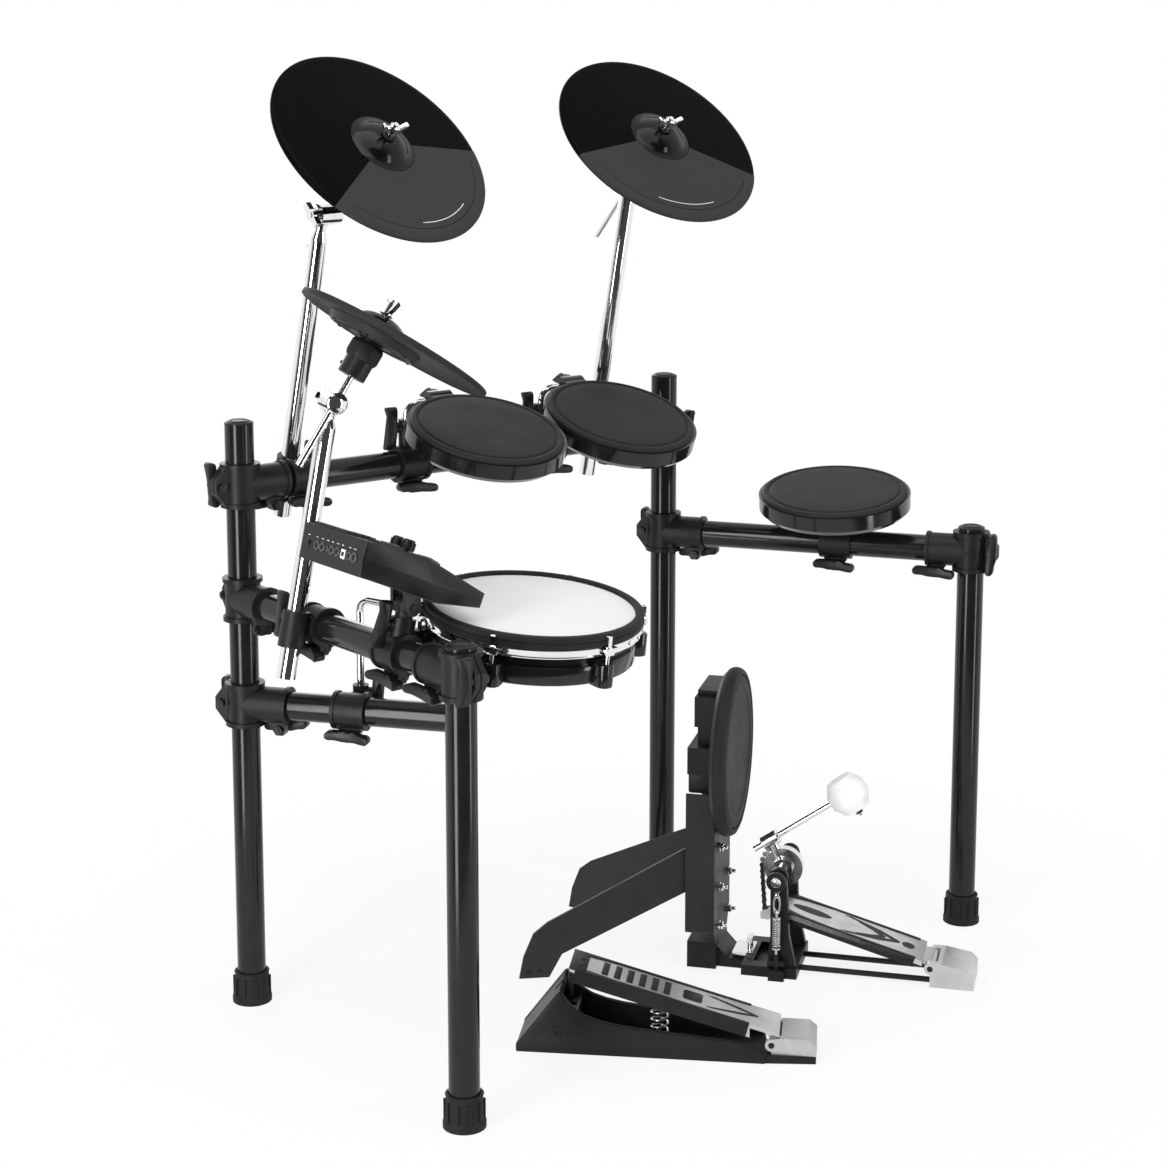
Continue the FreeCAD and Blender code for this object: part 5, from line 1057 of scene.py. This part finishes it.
@dataclass
class HatPedal:
    """Hi-hat pedal, in a frame with its origin under the toe and local X towards the heel."""

    origin: Triple = (-140.0, -46.0, 0.0)
    turn: float = -44.0
    toe: Pair = (68.0, 113.0)
    end: Pair = (338.0, 38.0)
    first_grip: float = 112.0
    grip_step: float = 16.0
    grips: int = 6
    spring_at: float = 182.0
    spring_low: float = 12.0
    spring_high: float = 70.5
    spring_turns: int = 6
    floor: float = 10.0
    kept: float = 0.74

    def place(self) -> Matrix:
        """Frame of the whole pedal."""
        return rack_place(self.origin, heading(self.turn), UP)

    def tread_place(self) -> Matrix:
        """Frame on the footplate's top, with its origin at the toe and local X down to the heel."""
        return sloped(self.place(), self.toe, self.toe, self.end)

    def build(self) -> None:
        """Model the tread of the footplate, the spring, the socket, the screws and the walls."""
        self.build_tread()
        self.build_spring()
        self.build_socket()
        self.build_walls()

    def build_tread(self) -> None:
        """Model the grips, the marks and the side rails of the tread."""
        run = self.end[0] - self.toe[0]
        slant = math.hypot(run, self.end[1] - self.toe[1]) / run
        grips = Form()
        for k in range(self.grips):
            x = (self.first_grip + self.grip_step * k - self.toe[0]) * slant
            grips.plate(rect(x - 3.6, x + 3.6, -12.6, 12.6), -2.4, 0.4)
            grips.plate(rect(x - 4.4, x + 4.4, -18.6, 18.6), -0.2, 0.9, 0.5)
        grips.plate([(150, -11), (153, -14), (173, -14), (176, -11), (176, 11), (173, 14), (153, 14), (150, 11)],
                    -0.3, 0.4, 0.2)
        grips.twins([(182, 17), (191, 18), (228, 9.4), (250, 1.8), (251, 0.3), (241, 0.3), (225, 4.6)], -0.3, 0.4)
        grips.piece("hat_tread_grips", self.tread_place(), "hihat_footplate", Palette.INLAY)
        rails = Form().twins([(8, 31.9), (240, 31.9), (240, 26.6), (60, 25.4), (8, 21)], -1.0, 1.0, 0.6)
        rails.twins(rect(8, 240, 31.9, 27.2), -17.8, -0.6).plate(rect(-0.6, 22, -31.6, 31.6), -1.0, 1.1, 0.6)
        rails.piece("hat_tread_rails", self.tread_place(), "hihat_footplate", Palette.INLAY)

    def build_spring(self) -> None:
        """Model the spring under the footplate at one fixed length; on the real pedal the footplate squashes it towards
        the floor of the trough.
        """
        pitch = (self.spring_high - self.spring_low) / self.spring_turns
        spot = self.place() @ Matrix.Translation((self.spring_at, 0, 0))
        spring = Form().coil(11, 1.5, pitch, self.spring_turns, self.spring_low).piece(
            "hat_spring_coil", spot, "rack", Palette.SPRING, "hihat_spring")
        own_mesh(spring)

    def build_socket(self) -> None:
        """Model the nut round the phone socket and the screws of the toe block."""
        nut = Form().lathe([(3.4, -0.4), (6.6, -0.4), (6.6, 1.4), (6, 2), (4, 2), (3.4, 1.4), (3.4, -0.4)], 12)
        nut.drum(3.5, -0.2, 0.15, 24).moved(Matrix.Translation((52, -40.8, 30)) @ STAND)
        nut.piece("hat_socket_nut", self.place(), "rack", Palette.BOLT)
        screws = Form()
        for y in (-10, 10):
            screws.drum(4, -0.3, 2.2, 24, tip=3.2, place=Matrix.Translation((14, y, 0)), rounding=0.4)
        screws.piece("hat_toe_screws", self.tread_place(), "hihat_footplate", Palette.BOLT)

    def build_walls(self) -> None:
        """Model the swept side walls of the base."""
        sweep = [(-0.6, 1), (320.6, 1), (320.6, 10.4), (314, 18), (306, 22.6), (280, 26.6), (241, 30.8), (200, 34.4),
                 (160, 37.8), (130, 41.5), (108, 46), (90, 52), (76, 60.5), (66, 71), (58, 82.5), (55, 83.2), (52, 80),
                 (-0.6, 10.5)]
        walls = Form()
        for low in (33.6, -40.8):
            walls.plate(sweep, low, low + 7.2, 1.2, STAND)
        walls.piece("hat_side_walls", self.place(), "rack", Palette.MOULDING)

    def dress(self) -> None:
        """Finish the CAD nodes of the pedal."""
        dress(Palette.MOULDING, "hihat_pedal_base", "hihat_toe_block")
        dress(Palette.CAST, "hihat_footplate", "hihat_heel_block")


@dataclass
class SoundModule:
    """Sound module: case, panel with its window, knobs and keys, and the sockets on its rear face."""

    profile: tuple[Pair, ...] = ((-427.0, 720.0), (-344.0, 689.0), (-261.0, 633.0), (-268.0, 616.0), (-331.0, 631.0),
                                 (-416.0, 669.0), (-438.0, 678.0))
    ends: Pair = (-145.0, -11.0)
    cheek_share: float = 0.95
    crease: Triple = (3.0, 6.5, 4.0)
    crease_shares: Triple = (0.5, 0.46, 0.52)
    key_spots: Triple = (-120.0, -78.0, -36.0)
    knob_spots: Pair = (-125.0, -103.0)
    socket_shares: tuple[float, ...] = (0.26, 0.35, 0.43, 0.51, 0.6, 0.8, 0.88)
    socket_radii: tuple[float, ...] = (5.4, 5.4, 3.4, 5.4, 5.4, 5.0, 6.0)
    line_shares: tuple[float, ...] = (0.1, 0.24, 0.33, 0.42, 0.5, 0.59, 0.67, 0.79, 0.87)

    def facet(self, corner: int) -> Matrix:
        """Frame on a top facet.

        Args:
            corner: Number of the profile's corner at the facet's upper edge.

        Returns:
            The frame, with its origin at that edge and local X down the slope.
        """
        (x, z), (x_end, z_end) = self.profile[corner:corner + 2]
        down = Vector((x_end - x, 0.0, z_end - z))
        return rack_place((x, 0.0, z), down, (-down.z, 0.0, down.x))

    def back(self) -> Matrix:
        """Frame on the rear face.

        Returns:
            The frame, with local X towards the player's left end and local Y up.
        """
        (x, z), (x_top, z_top) = self.profile[-1], self.profile[0]
        return rack_place((x, 0.0, z), (0.0, -1.0, 0.0), (z - z_top, 0.0, x_top - x))

    def along_back(self, share: float) -> float:
        """Local X of a spot on the rear face, at a share of the module's width."""
        return -self.ends[1] + (self.ends[1] - self.ends[0]) * share

    def build(self) -> None:
        """Model the panel's controls, the sockets, the front strip and the cheeks."""
        rear, slope = self.facet(0), self.facet(1)
        window = Form().plate(rect(12, 46, -86, -24), 3.6, 4.5, 0.25)
        window.piece("module_window", rear, "module", Palette.GLASS)
        buttons = Form()
        for y in (-132, -126, -120):
            buttons.drum(1.5, 2.8, 3.7, 20, tip=1.0, place=Matrix.Translation((30, y, 0)))
        for y in (-134, -122.5):
            buttons.plate(rect(38, 54, y - 3.6, y + 3.6), 2.8, 4.2, 0.5)
        buttons.piece("module_side_buttons", rear, "module", Palette.KEY)
        for number, y in enumerate(self.key_spots, 1):
            spot = Matrix.Translation((22, y, 0))
            cap = Form().plate(rect(-9, 9, -15, 15), -5, 3.4, 1.1, spot)
            cap.plate(rect(-7.2, 7.2, -13.2, 13.2), 3, 4, 0.6, spot)
            cap.piece(f"key_{number}_cap", slope, f"key_{number}", Palette.KEY, f"key_{number}")
        for body, y in zip(("volume_knob", "menu_dial"), self.knob_spots):
            spot = Matrix.Translation((73, y, 0))
            top = Form().drum(5.4, 13.4, 14.5, 40, tip=4.9, place=spot)
            top.plate(rect(-6.2, -1.4, -0.5, 0.5), 13.6, 14.7, 0.1, spot)
            top.piece(body + "_top", rear, body, Palette.KEY)
        self.build_sockets()
        self.build_front(slope)
        self.build_cheeks()

    def build_sockets(self) -> None:
        """Model the row of sockets, the square port, the switch and the short lines on the rear face; the dark discs in
        the sockets and the dark patch in the port are painted shade for their holes.
        """
        rings, switch_and_hole_shade = Form(), Form()
        for share, r in zip(self.socket_shares, self.socket_radii):
            spot, hole = Matrix.Translation((self.along_back(share), 20, 0)), r * 0.58
            ring = [(hole, -0.4), (r, -0.4), (r, 1), (r - 0.6, 1.6), (r * 0.66, 1.6), (hole, 1), (hole, -0.4)]
            rings.add(Form().lathe(ring, 32), spot)
            # Dark disc inside the ring: painted shade where the socket's hole is.
            switch_and_hole_shade.drum(r * 0.6, -0.4, 0.3, 28, place=spot)
        rings.piece("module_socket_rings", self.back(), "module", Palette.KEY)
        x = self.along_back(0.12)
        switch_and_hole_shade.plate(rect(x - 2, x + 2, 13, 25), -0.3, 0.5, 0.1).plate(rect(x - 1.4, x + 1.4, 19, 23), 0.2, 2, 0.3)
        x = self.along_back(0.7)
        # Dark patch inside the white port: painted shade of its opening.
        switch_and_hole_shade.plate(rect(x - 2.6, x + 2.6, 17.5, 22.5), 0.3, 1.3, 0.1)
        # This piece holds the switch in its own black and the painted shade of the holes.
        switch_and_hole_shade.piece("module_switch_and_hole_shade", self.back(), "module", Palette.INLAY)
        lines = Form().plate(rect(x - 4.6, x + 4.6, 14.5, 25.5), -0.3, 0.9, 0.3)
        for share in self.line_shares:
            x = self.along_back(share)
            lines.plate(rect(x - 2.2, x + 2.2, 29.4, 30.2), -0.2, 0.06)
        lines.piece("module_port_and_lines", self.back(), "module", Palette.MARK)

    def build_front(self, slope: Matrix) -> None:
        """Model the row of small buttons and the strip below the keys.

        Args:
            slope: Frame on the front facet.
        """
        buttons = Form()
        for y in range(-128, -8, 20):
            buttons.plate(rect(50, 58, y - 5.5, y + 5.5), -0.4, 1.6, 0.5)
        buttons.piece("module_front_buttons", slope, "module", Palette.KEY)
        strip = Form().plate(rect(70, 92, -138, -18), -0.4, 0.5, 0.3)
        strip.piece("module_front_strip", slope, "module", Palette.PANEL)

    def build_cheeks(self) -> None:
        """Model a creased cheek on either end of the case."""
        corners = [Vector(corner) for corner in self.profile]
        middle = sum(corners, Vector((0.0, 0.0))) / len(corners)
        inset = [middle.lerp(corner, self.cheek_share) for corner in corners]
        columns = list(zip(inset[:3], (inset[6], inset[4], inset[3]), self.crease_shares, self.crease))
        outlines = []
        for upper, lower, share, out in columns:
            chain = ((upper, -0.5), (upper, 1.0), (lower.lerp(upper, share), out), (lower, 1.0), (lower, -0.5))
            outlines.append([(spot.x, spot.y, rise) for spot, rise in chain])
        for name, y, way in (("near", self.ends[0], -1.0), ("far", self.ends[1], 1.0)):
            cheek = Form().loft(outlines).soften(0.9, 0.12).moved(Matrix.Diagonal((1.0, -way, 1.0, 1.0))).outward()
            place = rack_place((0.0, y, 0.0), AHEAD, (0.0, way, 0.0))
            cheek.piece(f"module_cheek_{name}", place, "module", Palette.CASE)

    def dress(self) -> None:
        """Finish the CAD case, panel, knobs and post."""
        dress(Palette.CASE, "module_case")
        dress(Palette.PANEL, "module_panel")
        dress(Palette.BOLT, "volume_knob", "menu_dial")
        dress(Palette.POWDER, "module_post")


@dataclass(frozen=True)
class Wing:
    """Place of the grip of a wing bolt or screw: its seat, its axis, the way its wings spread and its stop."""

    seat: Triple
    axis: Triple
    spread: Triple
    stop: float = 8.5


WINGS = (
    Wing((-389, 277.5, 713), (0, 1, 0), (0, 0, 1)), Wing((-306.8, 277.5, 681.5), (0, 1, 0), (1, 0, 0)),
    Wing((-358.7, 309, 560), (0.999, 0.038, 0), (0, 0, 1)),
    Wing((-355.6, 226.8, 528.5), (0.999, 0.038, 0), (0.038, -0.999, 0)),
    Wing((-377.1, 302.2, 417), (0.783, 0.623, 0), (0, 0, 1)),
    Wing((-325.9, 237.8, 385.5), (0.783, 0.623, 0), (0.623, -0.783, 0)),
    Wing((-337.6, -239.6, 560), (-0.999, -0.038, 0), (0, 0, 1)),
    Wing((-340.8, -157.4, 528.5), (-0.999, -0.038, 0), (-0.038, 0.999, 0)),
    Wing((389, 277.5, 713), (0, -1, 0), (0, 0, 1)), Wing((306.8, 277.5, 681.5), (0, -1, 0), (-1, 0, 0)),
    Wing((339.4, 303.3, 560), (0.818, 0.575, 0), (0, 0, 1)),
    Wing((386.7, 236, 528.5), (0.818, 0.575, 0), (0.575, -0.818, 0)),
    Wing((641.3, -126.3, 560), (-0.818, -0.575, 0), (0, 0, 1)),
    Wing((594, -59, 528.5), (-0.818, -0.575, 0), (-0.575, 0.818, 0)),
    Wing((-264, 277.5, 681.5), (0, -1, 0), (1, 0, 0)), Wing((-264, 311.8, 726), (1, 0, 0), (0, -0.276, 0.961), 21.8),
    Wing((253, 277.5, 681.5), (0, -1, 0), (1, 0, 0)), Wing((253, 312.5, 726.2), (-1, 0, 0), (0, -0.225, 0.974), 21.8),
    Wing((-350.4, 92.6, 528.5), (-0.999, -0.038, 0), (0.038, -0.999, 0)),
    Wing((-385.6, 91.3, 573.2), (-0.038, 0.999, 0), (0.208, 0.008, 0.978), 21.8),
    Wing((-94, 277.5, 681.5), (0, -1, 0), (1, 0, 0)), Wing((-94, 284.8, 762.5), (-1, 0, 0), (0, 0, 1), 15.15),
    Wing((138, 277.5, 681.5), (0, -1, 0), (1, 0, 0)), Wing((138, 287.9, 762.5), (-1, 0, 0), (0, 0, 1), 15.15),
    Wing((-264.1, 160.1, 385.5), (-0.783, -0.623, 0), (0.623, -0.783, 0)),
    Wing((-235.9, 182.5, 432.5), (0.623, -0.783, 0), (0, 0, 1), 15.15),
    Wing((-343.8, -78.2, 528.5), (-0.999, -0.038, 0), (0.038, -0.999, 0)),
    Wing((-336.2, -77.9, 590.6), (-0.97, -0.037, 0.242), (0.242, 0.009, 0.97), 20.65),
    Wing((509.9, 60.7, 528.5), (-0.818, -0.575, 0), (0.575, -0.818, 0)),
)


@dataclass
class Rack:
    """Tube rack: posts, bars, clamps, bolts, caps and feet."""

    posts: tuple[Triple, ...] = ((-357.5, 277.5, 794.0), (357.5, 277.5, 794.0), (-338.8, -208.2, 593.0),
                                 (623.2, -100.5, 593.0))
    tube_radius: float = 19.05
    wing_flare: float = 0.5
    wing_stretch: float = 1.22

    def build(self) -> None:
        """Model the raised rings on the caps, the soft lips of the feet and the wing grips."""
        r = self.tube_radius
        for number, (x, y, top) in enumerate(self.posts, 1):
            ring = Form().lathe([
                (r - 7.5, 3.7), (r - 7.2, 4.5), (r - 6.4, 4.8), (r - 5.6, 4.5), (r - 5.3, 3.7), (r - 7.5, 3.7)], 64)
            ring.piece(f"cap_ring_{number}", rack_place((x, y, top), AHEAD, UP), "rack", Palette.MOULDING)
            lip = Form().lathe([(r + 0.3, 40.6), (r + 4.2, 40.6), (r + 4.6, 41.6), (r + 3.4, 42.8), (r + 1.2, 43),
                                (r + 0.3, 42.2), (r + 0.3, 40.6)], 64)
            lip.piece(f"foot_lip_{number}", rack_place((x, y, 0), AHEAD, UP), "rack", Palette.RUBBER)
        self.build_wings()

    def build_wings(self) -> None:
        """Model the soft S-shaped grips over the wings of the bolts and screws, flared towards their tips."""
        half = [(-7, 7.4), (-14, 8), (-21.5, 8), (-24.4, 5.4), (-24.6, 0), (-22, -3.4), (-14, -4.4), (-7, -7)]
        outline = half + [(-x, -y) for x, y in half]
        for number, wing in enumerate(WINGS, 1):
            grip = Form().plate(outline[::-1], wing.stop + 2.4, wing.stop + 11.6, 1.8)
            for vert in grip.bm.verts:
                if vert.co.z > wing.stop + 7:
                    vert.co.z += self.wing_flare * max(0.0, abs(vert.co.x) - 7.5)
                vert.co.x *= self.wing_stretch
            grip.drum(7.4, wing.stop + 0.4, wing.stop + 13, 32, tip=6.8, rounding=1.0)
            place = rack_place(wing.seat, wing.spread, wing.axis)
            grip.piece(f"wing_grip_{number}", place, "rack", Palette.BOLT)

    def dress(self) -> None:
        """Finish the CAD nodes of the rack."""
        dress(Palette.BLACK_TUBE, "posts", "front_bar", "wing_bars", "snare_bar")
        dress(Palette.MOULDING, "corner_clamps", "bar_clamps", "tube_caps")
        dress(Palette.BOLT, "wing_bolts", "hinge_pins")
        dress(Palette.RUBBER, "rubber_feet")
        dress(Palette.CHROME, "l_rods")


@dataclass(frozen=True)
class Lamp:
    """Soft box: its name, place, size and power."""

    name: str
    at: Triple
    size: Pair
    power: float


@dataclass
class Studio:
    """Pale floor, soft lamps, white surround and the camera."""

    camera_at: Triple = (-1.8219, -2.4085, 1.292)
    yaw: float = 37.055
    pitch: float = -9.255
    lens: float = 72.44
    shift: float = -0.14
    floor_radius: float = 1.2
    floor_fade: Pair = (0.45, 1.12)
    dim_side: Triple = (-0.625, -0.78, 0.0)
    target: Triple = (0.0, 0.0, 0.8)
    lamps: tuple[Lamp, ...] = (Lamp("left_strip", (-2.45, -0.74, 0.8), (0.7, 2.6), 62.0),
                               Lamp("right_strip", (0.98, -2.37, 0.8), (0.4, 2.6), 26.0),
                               Lamp("top_box", (-0.4, -0.6, 3.2), (2.2, 2.2), 30.0),
                               Lamp("back_box", (0.5, 2.6, 1.5), (2.4, 1.6), 26.0))

    def build(self) -> None:
        """Make the floor, the world, the lamps and the camera."""
        self.build_floor()
        self.build_world()
        for lamp in self.lamps:
            self.hang(lamp)
        self.build_camera()

    def seen(self, tree: Tree) -> Socket:
        """Value that is 1 for what the camera, a reflection or glass shows.

        Args:
            tree: Node tree to add to.

        Returns:
            The value.
        """
        path = add_node(tree, "LightPath").outputs
        through = math_node(tree, "MAXIMUM", path["Is Glossy Ray"], path["Is Transmission Ray"])
        return math_node(tree, "MAXIMUM", path["Is Camera Ray"], through)

    def build_floor(self) -> None:
        """Lay the floor: near white to the camera, and it keeps the shadow."""
        bm = bmesh.new()
        bmesh.ops.create_circle(bm, cap_ends=True, radius=self.floor_radius, segments=FINE_SEGMENTS)
        mesh = bpy.data.meshes.new("studio_floor")
        bm.to_mesh(mesh)
        bm.free()
        floor = bpy.data.objects.new("studio_floor", mesh)
        bpy.context.scene.collection.objects.link(floor)
        made = bpy.data.materials.new("studio_floor_paper")
        made.use_nodes = True
        tree = made.node_tree
        tree.nodes.clear()
        where = add_node(tree, "TexCoord").outputs["Object"]
        reach = add_node(tree, "VectorMath", {0: where}, operation="LENGTH").outputs["Value"]
        fade = add_node(tree, "MapRange", {"Value": reach, "From Min": self.floor_fade[0],
                                           "From Max": self.floor_fade[1], "To Min": 0.84, "To Max": 1.0})
        share = math_node(tree, "MULTIPLY", self.seen(tree), fade.outputs["Result"])
        paper = add_node(tree, "BsdfDiffuse", {"Color": (0.9, 0.9, 0.9, 1.0)}).outputs["BSDF"]
        white = add_node(tree, "Emission", {"Color": WHITE}).outputs["Emission"]
        mix = add_node(tree, "MixShader", {"Fac": share, 1: paper, 2: white})
        add_node(tree, "OutputMaterial", {"Surface": mix.outputs["Shader"]})
        mesh.materials.append(made)

    def build_world(self) -> None:
        world = bpy.data.worlds.new("studio_surround")
        bpy.context.scene.world = world
        world.use_nodes = True
        tree = world.node_tree
        tree.nodes.clear()
        way = add_node(tree, "TexCoord").outputs["Generated"]
        toward = add_node(tree, "VectorMath", {0: way, 1: self.dim_side}, operation="DOT_PRODUCT").outputs["Value"]
        dim = add_node(tree, "MapRange", {"Value": toward, "From Min": 0.1, "From Max": 0.55, "To Min": 1.0,
                                          "To Max": 0.06}, interpolation_type="SMOOTHSTEP").outputs["Result"]
        level = math_node(tree, "MAXIMUM", dim, add_node(tree, "LightPath").outputs["Is Camera Ray"])
        soft = add_node(tree, "Background", {"Color": (0.95, 0.97, 1.0, 1.0), "Strength": 0.45}).outputs["Background"]
        white = add_node(tree, "Background", {"Color": WHITE, "Strength": level}).outputs["Background"]
        mix = add_node(tree, "MixShader", {"Fac": self.seen(tree), 1: soft, 2: white})
        add_node(tree, "OutputWorld", {"Surface": mix.outputs["Shader"]})

    def hang(self, lamp: Lamp) -> None:
        """Args:
            lamp: The soft box.
        """
        data = bpy.data.lights.new(lamp.name, "AREA")
        data.shape = "RECTANGLE"
        data.size, data.size_y = lamp.size
        data.energy = lamp.power
        hung = bpy.data.objects.new(lamp.name, data)
        hung.location = lamp.at
        hung.rotation_euler = (Vector(self.target) - Vector(lamp.at)).to_track_quat("-Z", "Y").to_euler()
        hung.visible_camera = False
        bpy.context.scene.collection.objects.link(hung)

    def build_camera(self) -> None:
        """Set the camera at the photograph's view."""
        data = bpy.data.cameras.new("photo_camera")
        data.sensor_width = 36.0
        data.lens = self.lens
        data.shift_y = self.shift
        data.clip_end = 100.0
        camera = bpy.data.objects.new("photo_camera", data)
        lean, turn = math.radians(self.pitch), math.radians(self.yaw)
        ahead = Vector((math.cos(lean) * math.sin(turn), math.cos(lean) * math.cos(turn), math.sin(lean)))
        camera.location = Vector(self.camera_at) - RACK_ORIGIN
        camera.rotation_euler = ahead.to_track_quat("-Z", "Y").to_euler()
        bpy.context.scene.collection.objects.link(camera)
        bpy.context.scene.camera = camera


def assemblies() -> list[object]:
    """Returns:
        Objects that each have a build and a dress method.
    """
    return [
        Rack(),
        Cymbal("crash", (-231.2, 120.7, 1157.2), (0.987, 0.16, 0.0), (0.1185, -0.7231, 0.6804), 153.0,
               zone=(-145.0, -6.0), mark=(-94.0, -53.0, 126.0), knuckle=133.0),
        Cymbal("ride", (270.25, 184.7, 1151.7), (1.0, 0.0, 0.0), (0.0, -0.7008, 0.7133), 153.0,
               zone=(-171.0, -31.0), mark=(-120.0, -78.0, 126.0), knuckle=55.0),
        Cymbal("hihat", (-274.3, 65.1, 933.3), (-0.1977, -0.9803, 0.0), (0.535, -0.107, 0.838), 132.0, 28.0,
               sleeve=(-68.0, -28.0)),
        TomPad("tom1", (-41.0, 163.0, 774.0), 90.0, 17.8),
        TomPad("tom2", (191.0, 167.0, 769.0), 90.0, 20.0),
        TomPad("tom3", (491.0, 47.5, 644.0), 35.1, 9.5),
        SnarePad(),
        SoundModule(),
        KickUnit(),
        HatPedal(),
    ]


def main() -> None:
    """Build and dress every sub-assembly."""
    logging.basicConfig(level=logging.INFO, format="%(name)s: %(message)s")
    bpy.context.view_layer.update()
    bpy.context.scene.view_settings.view_transform = "Standard"
    for part in assemblies():
        part.build()
        part.dress()
        LOG.info("done %s", type(part).__name__)
    Studio().build()


if __name__ == "__main__":
    main()
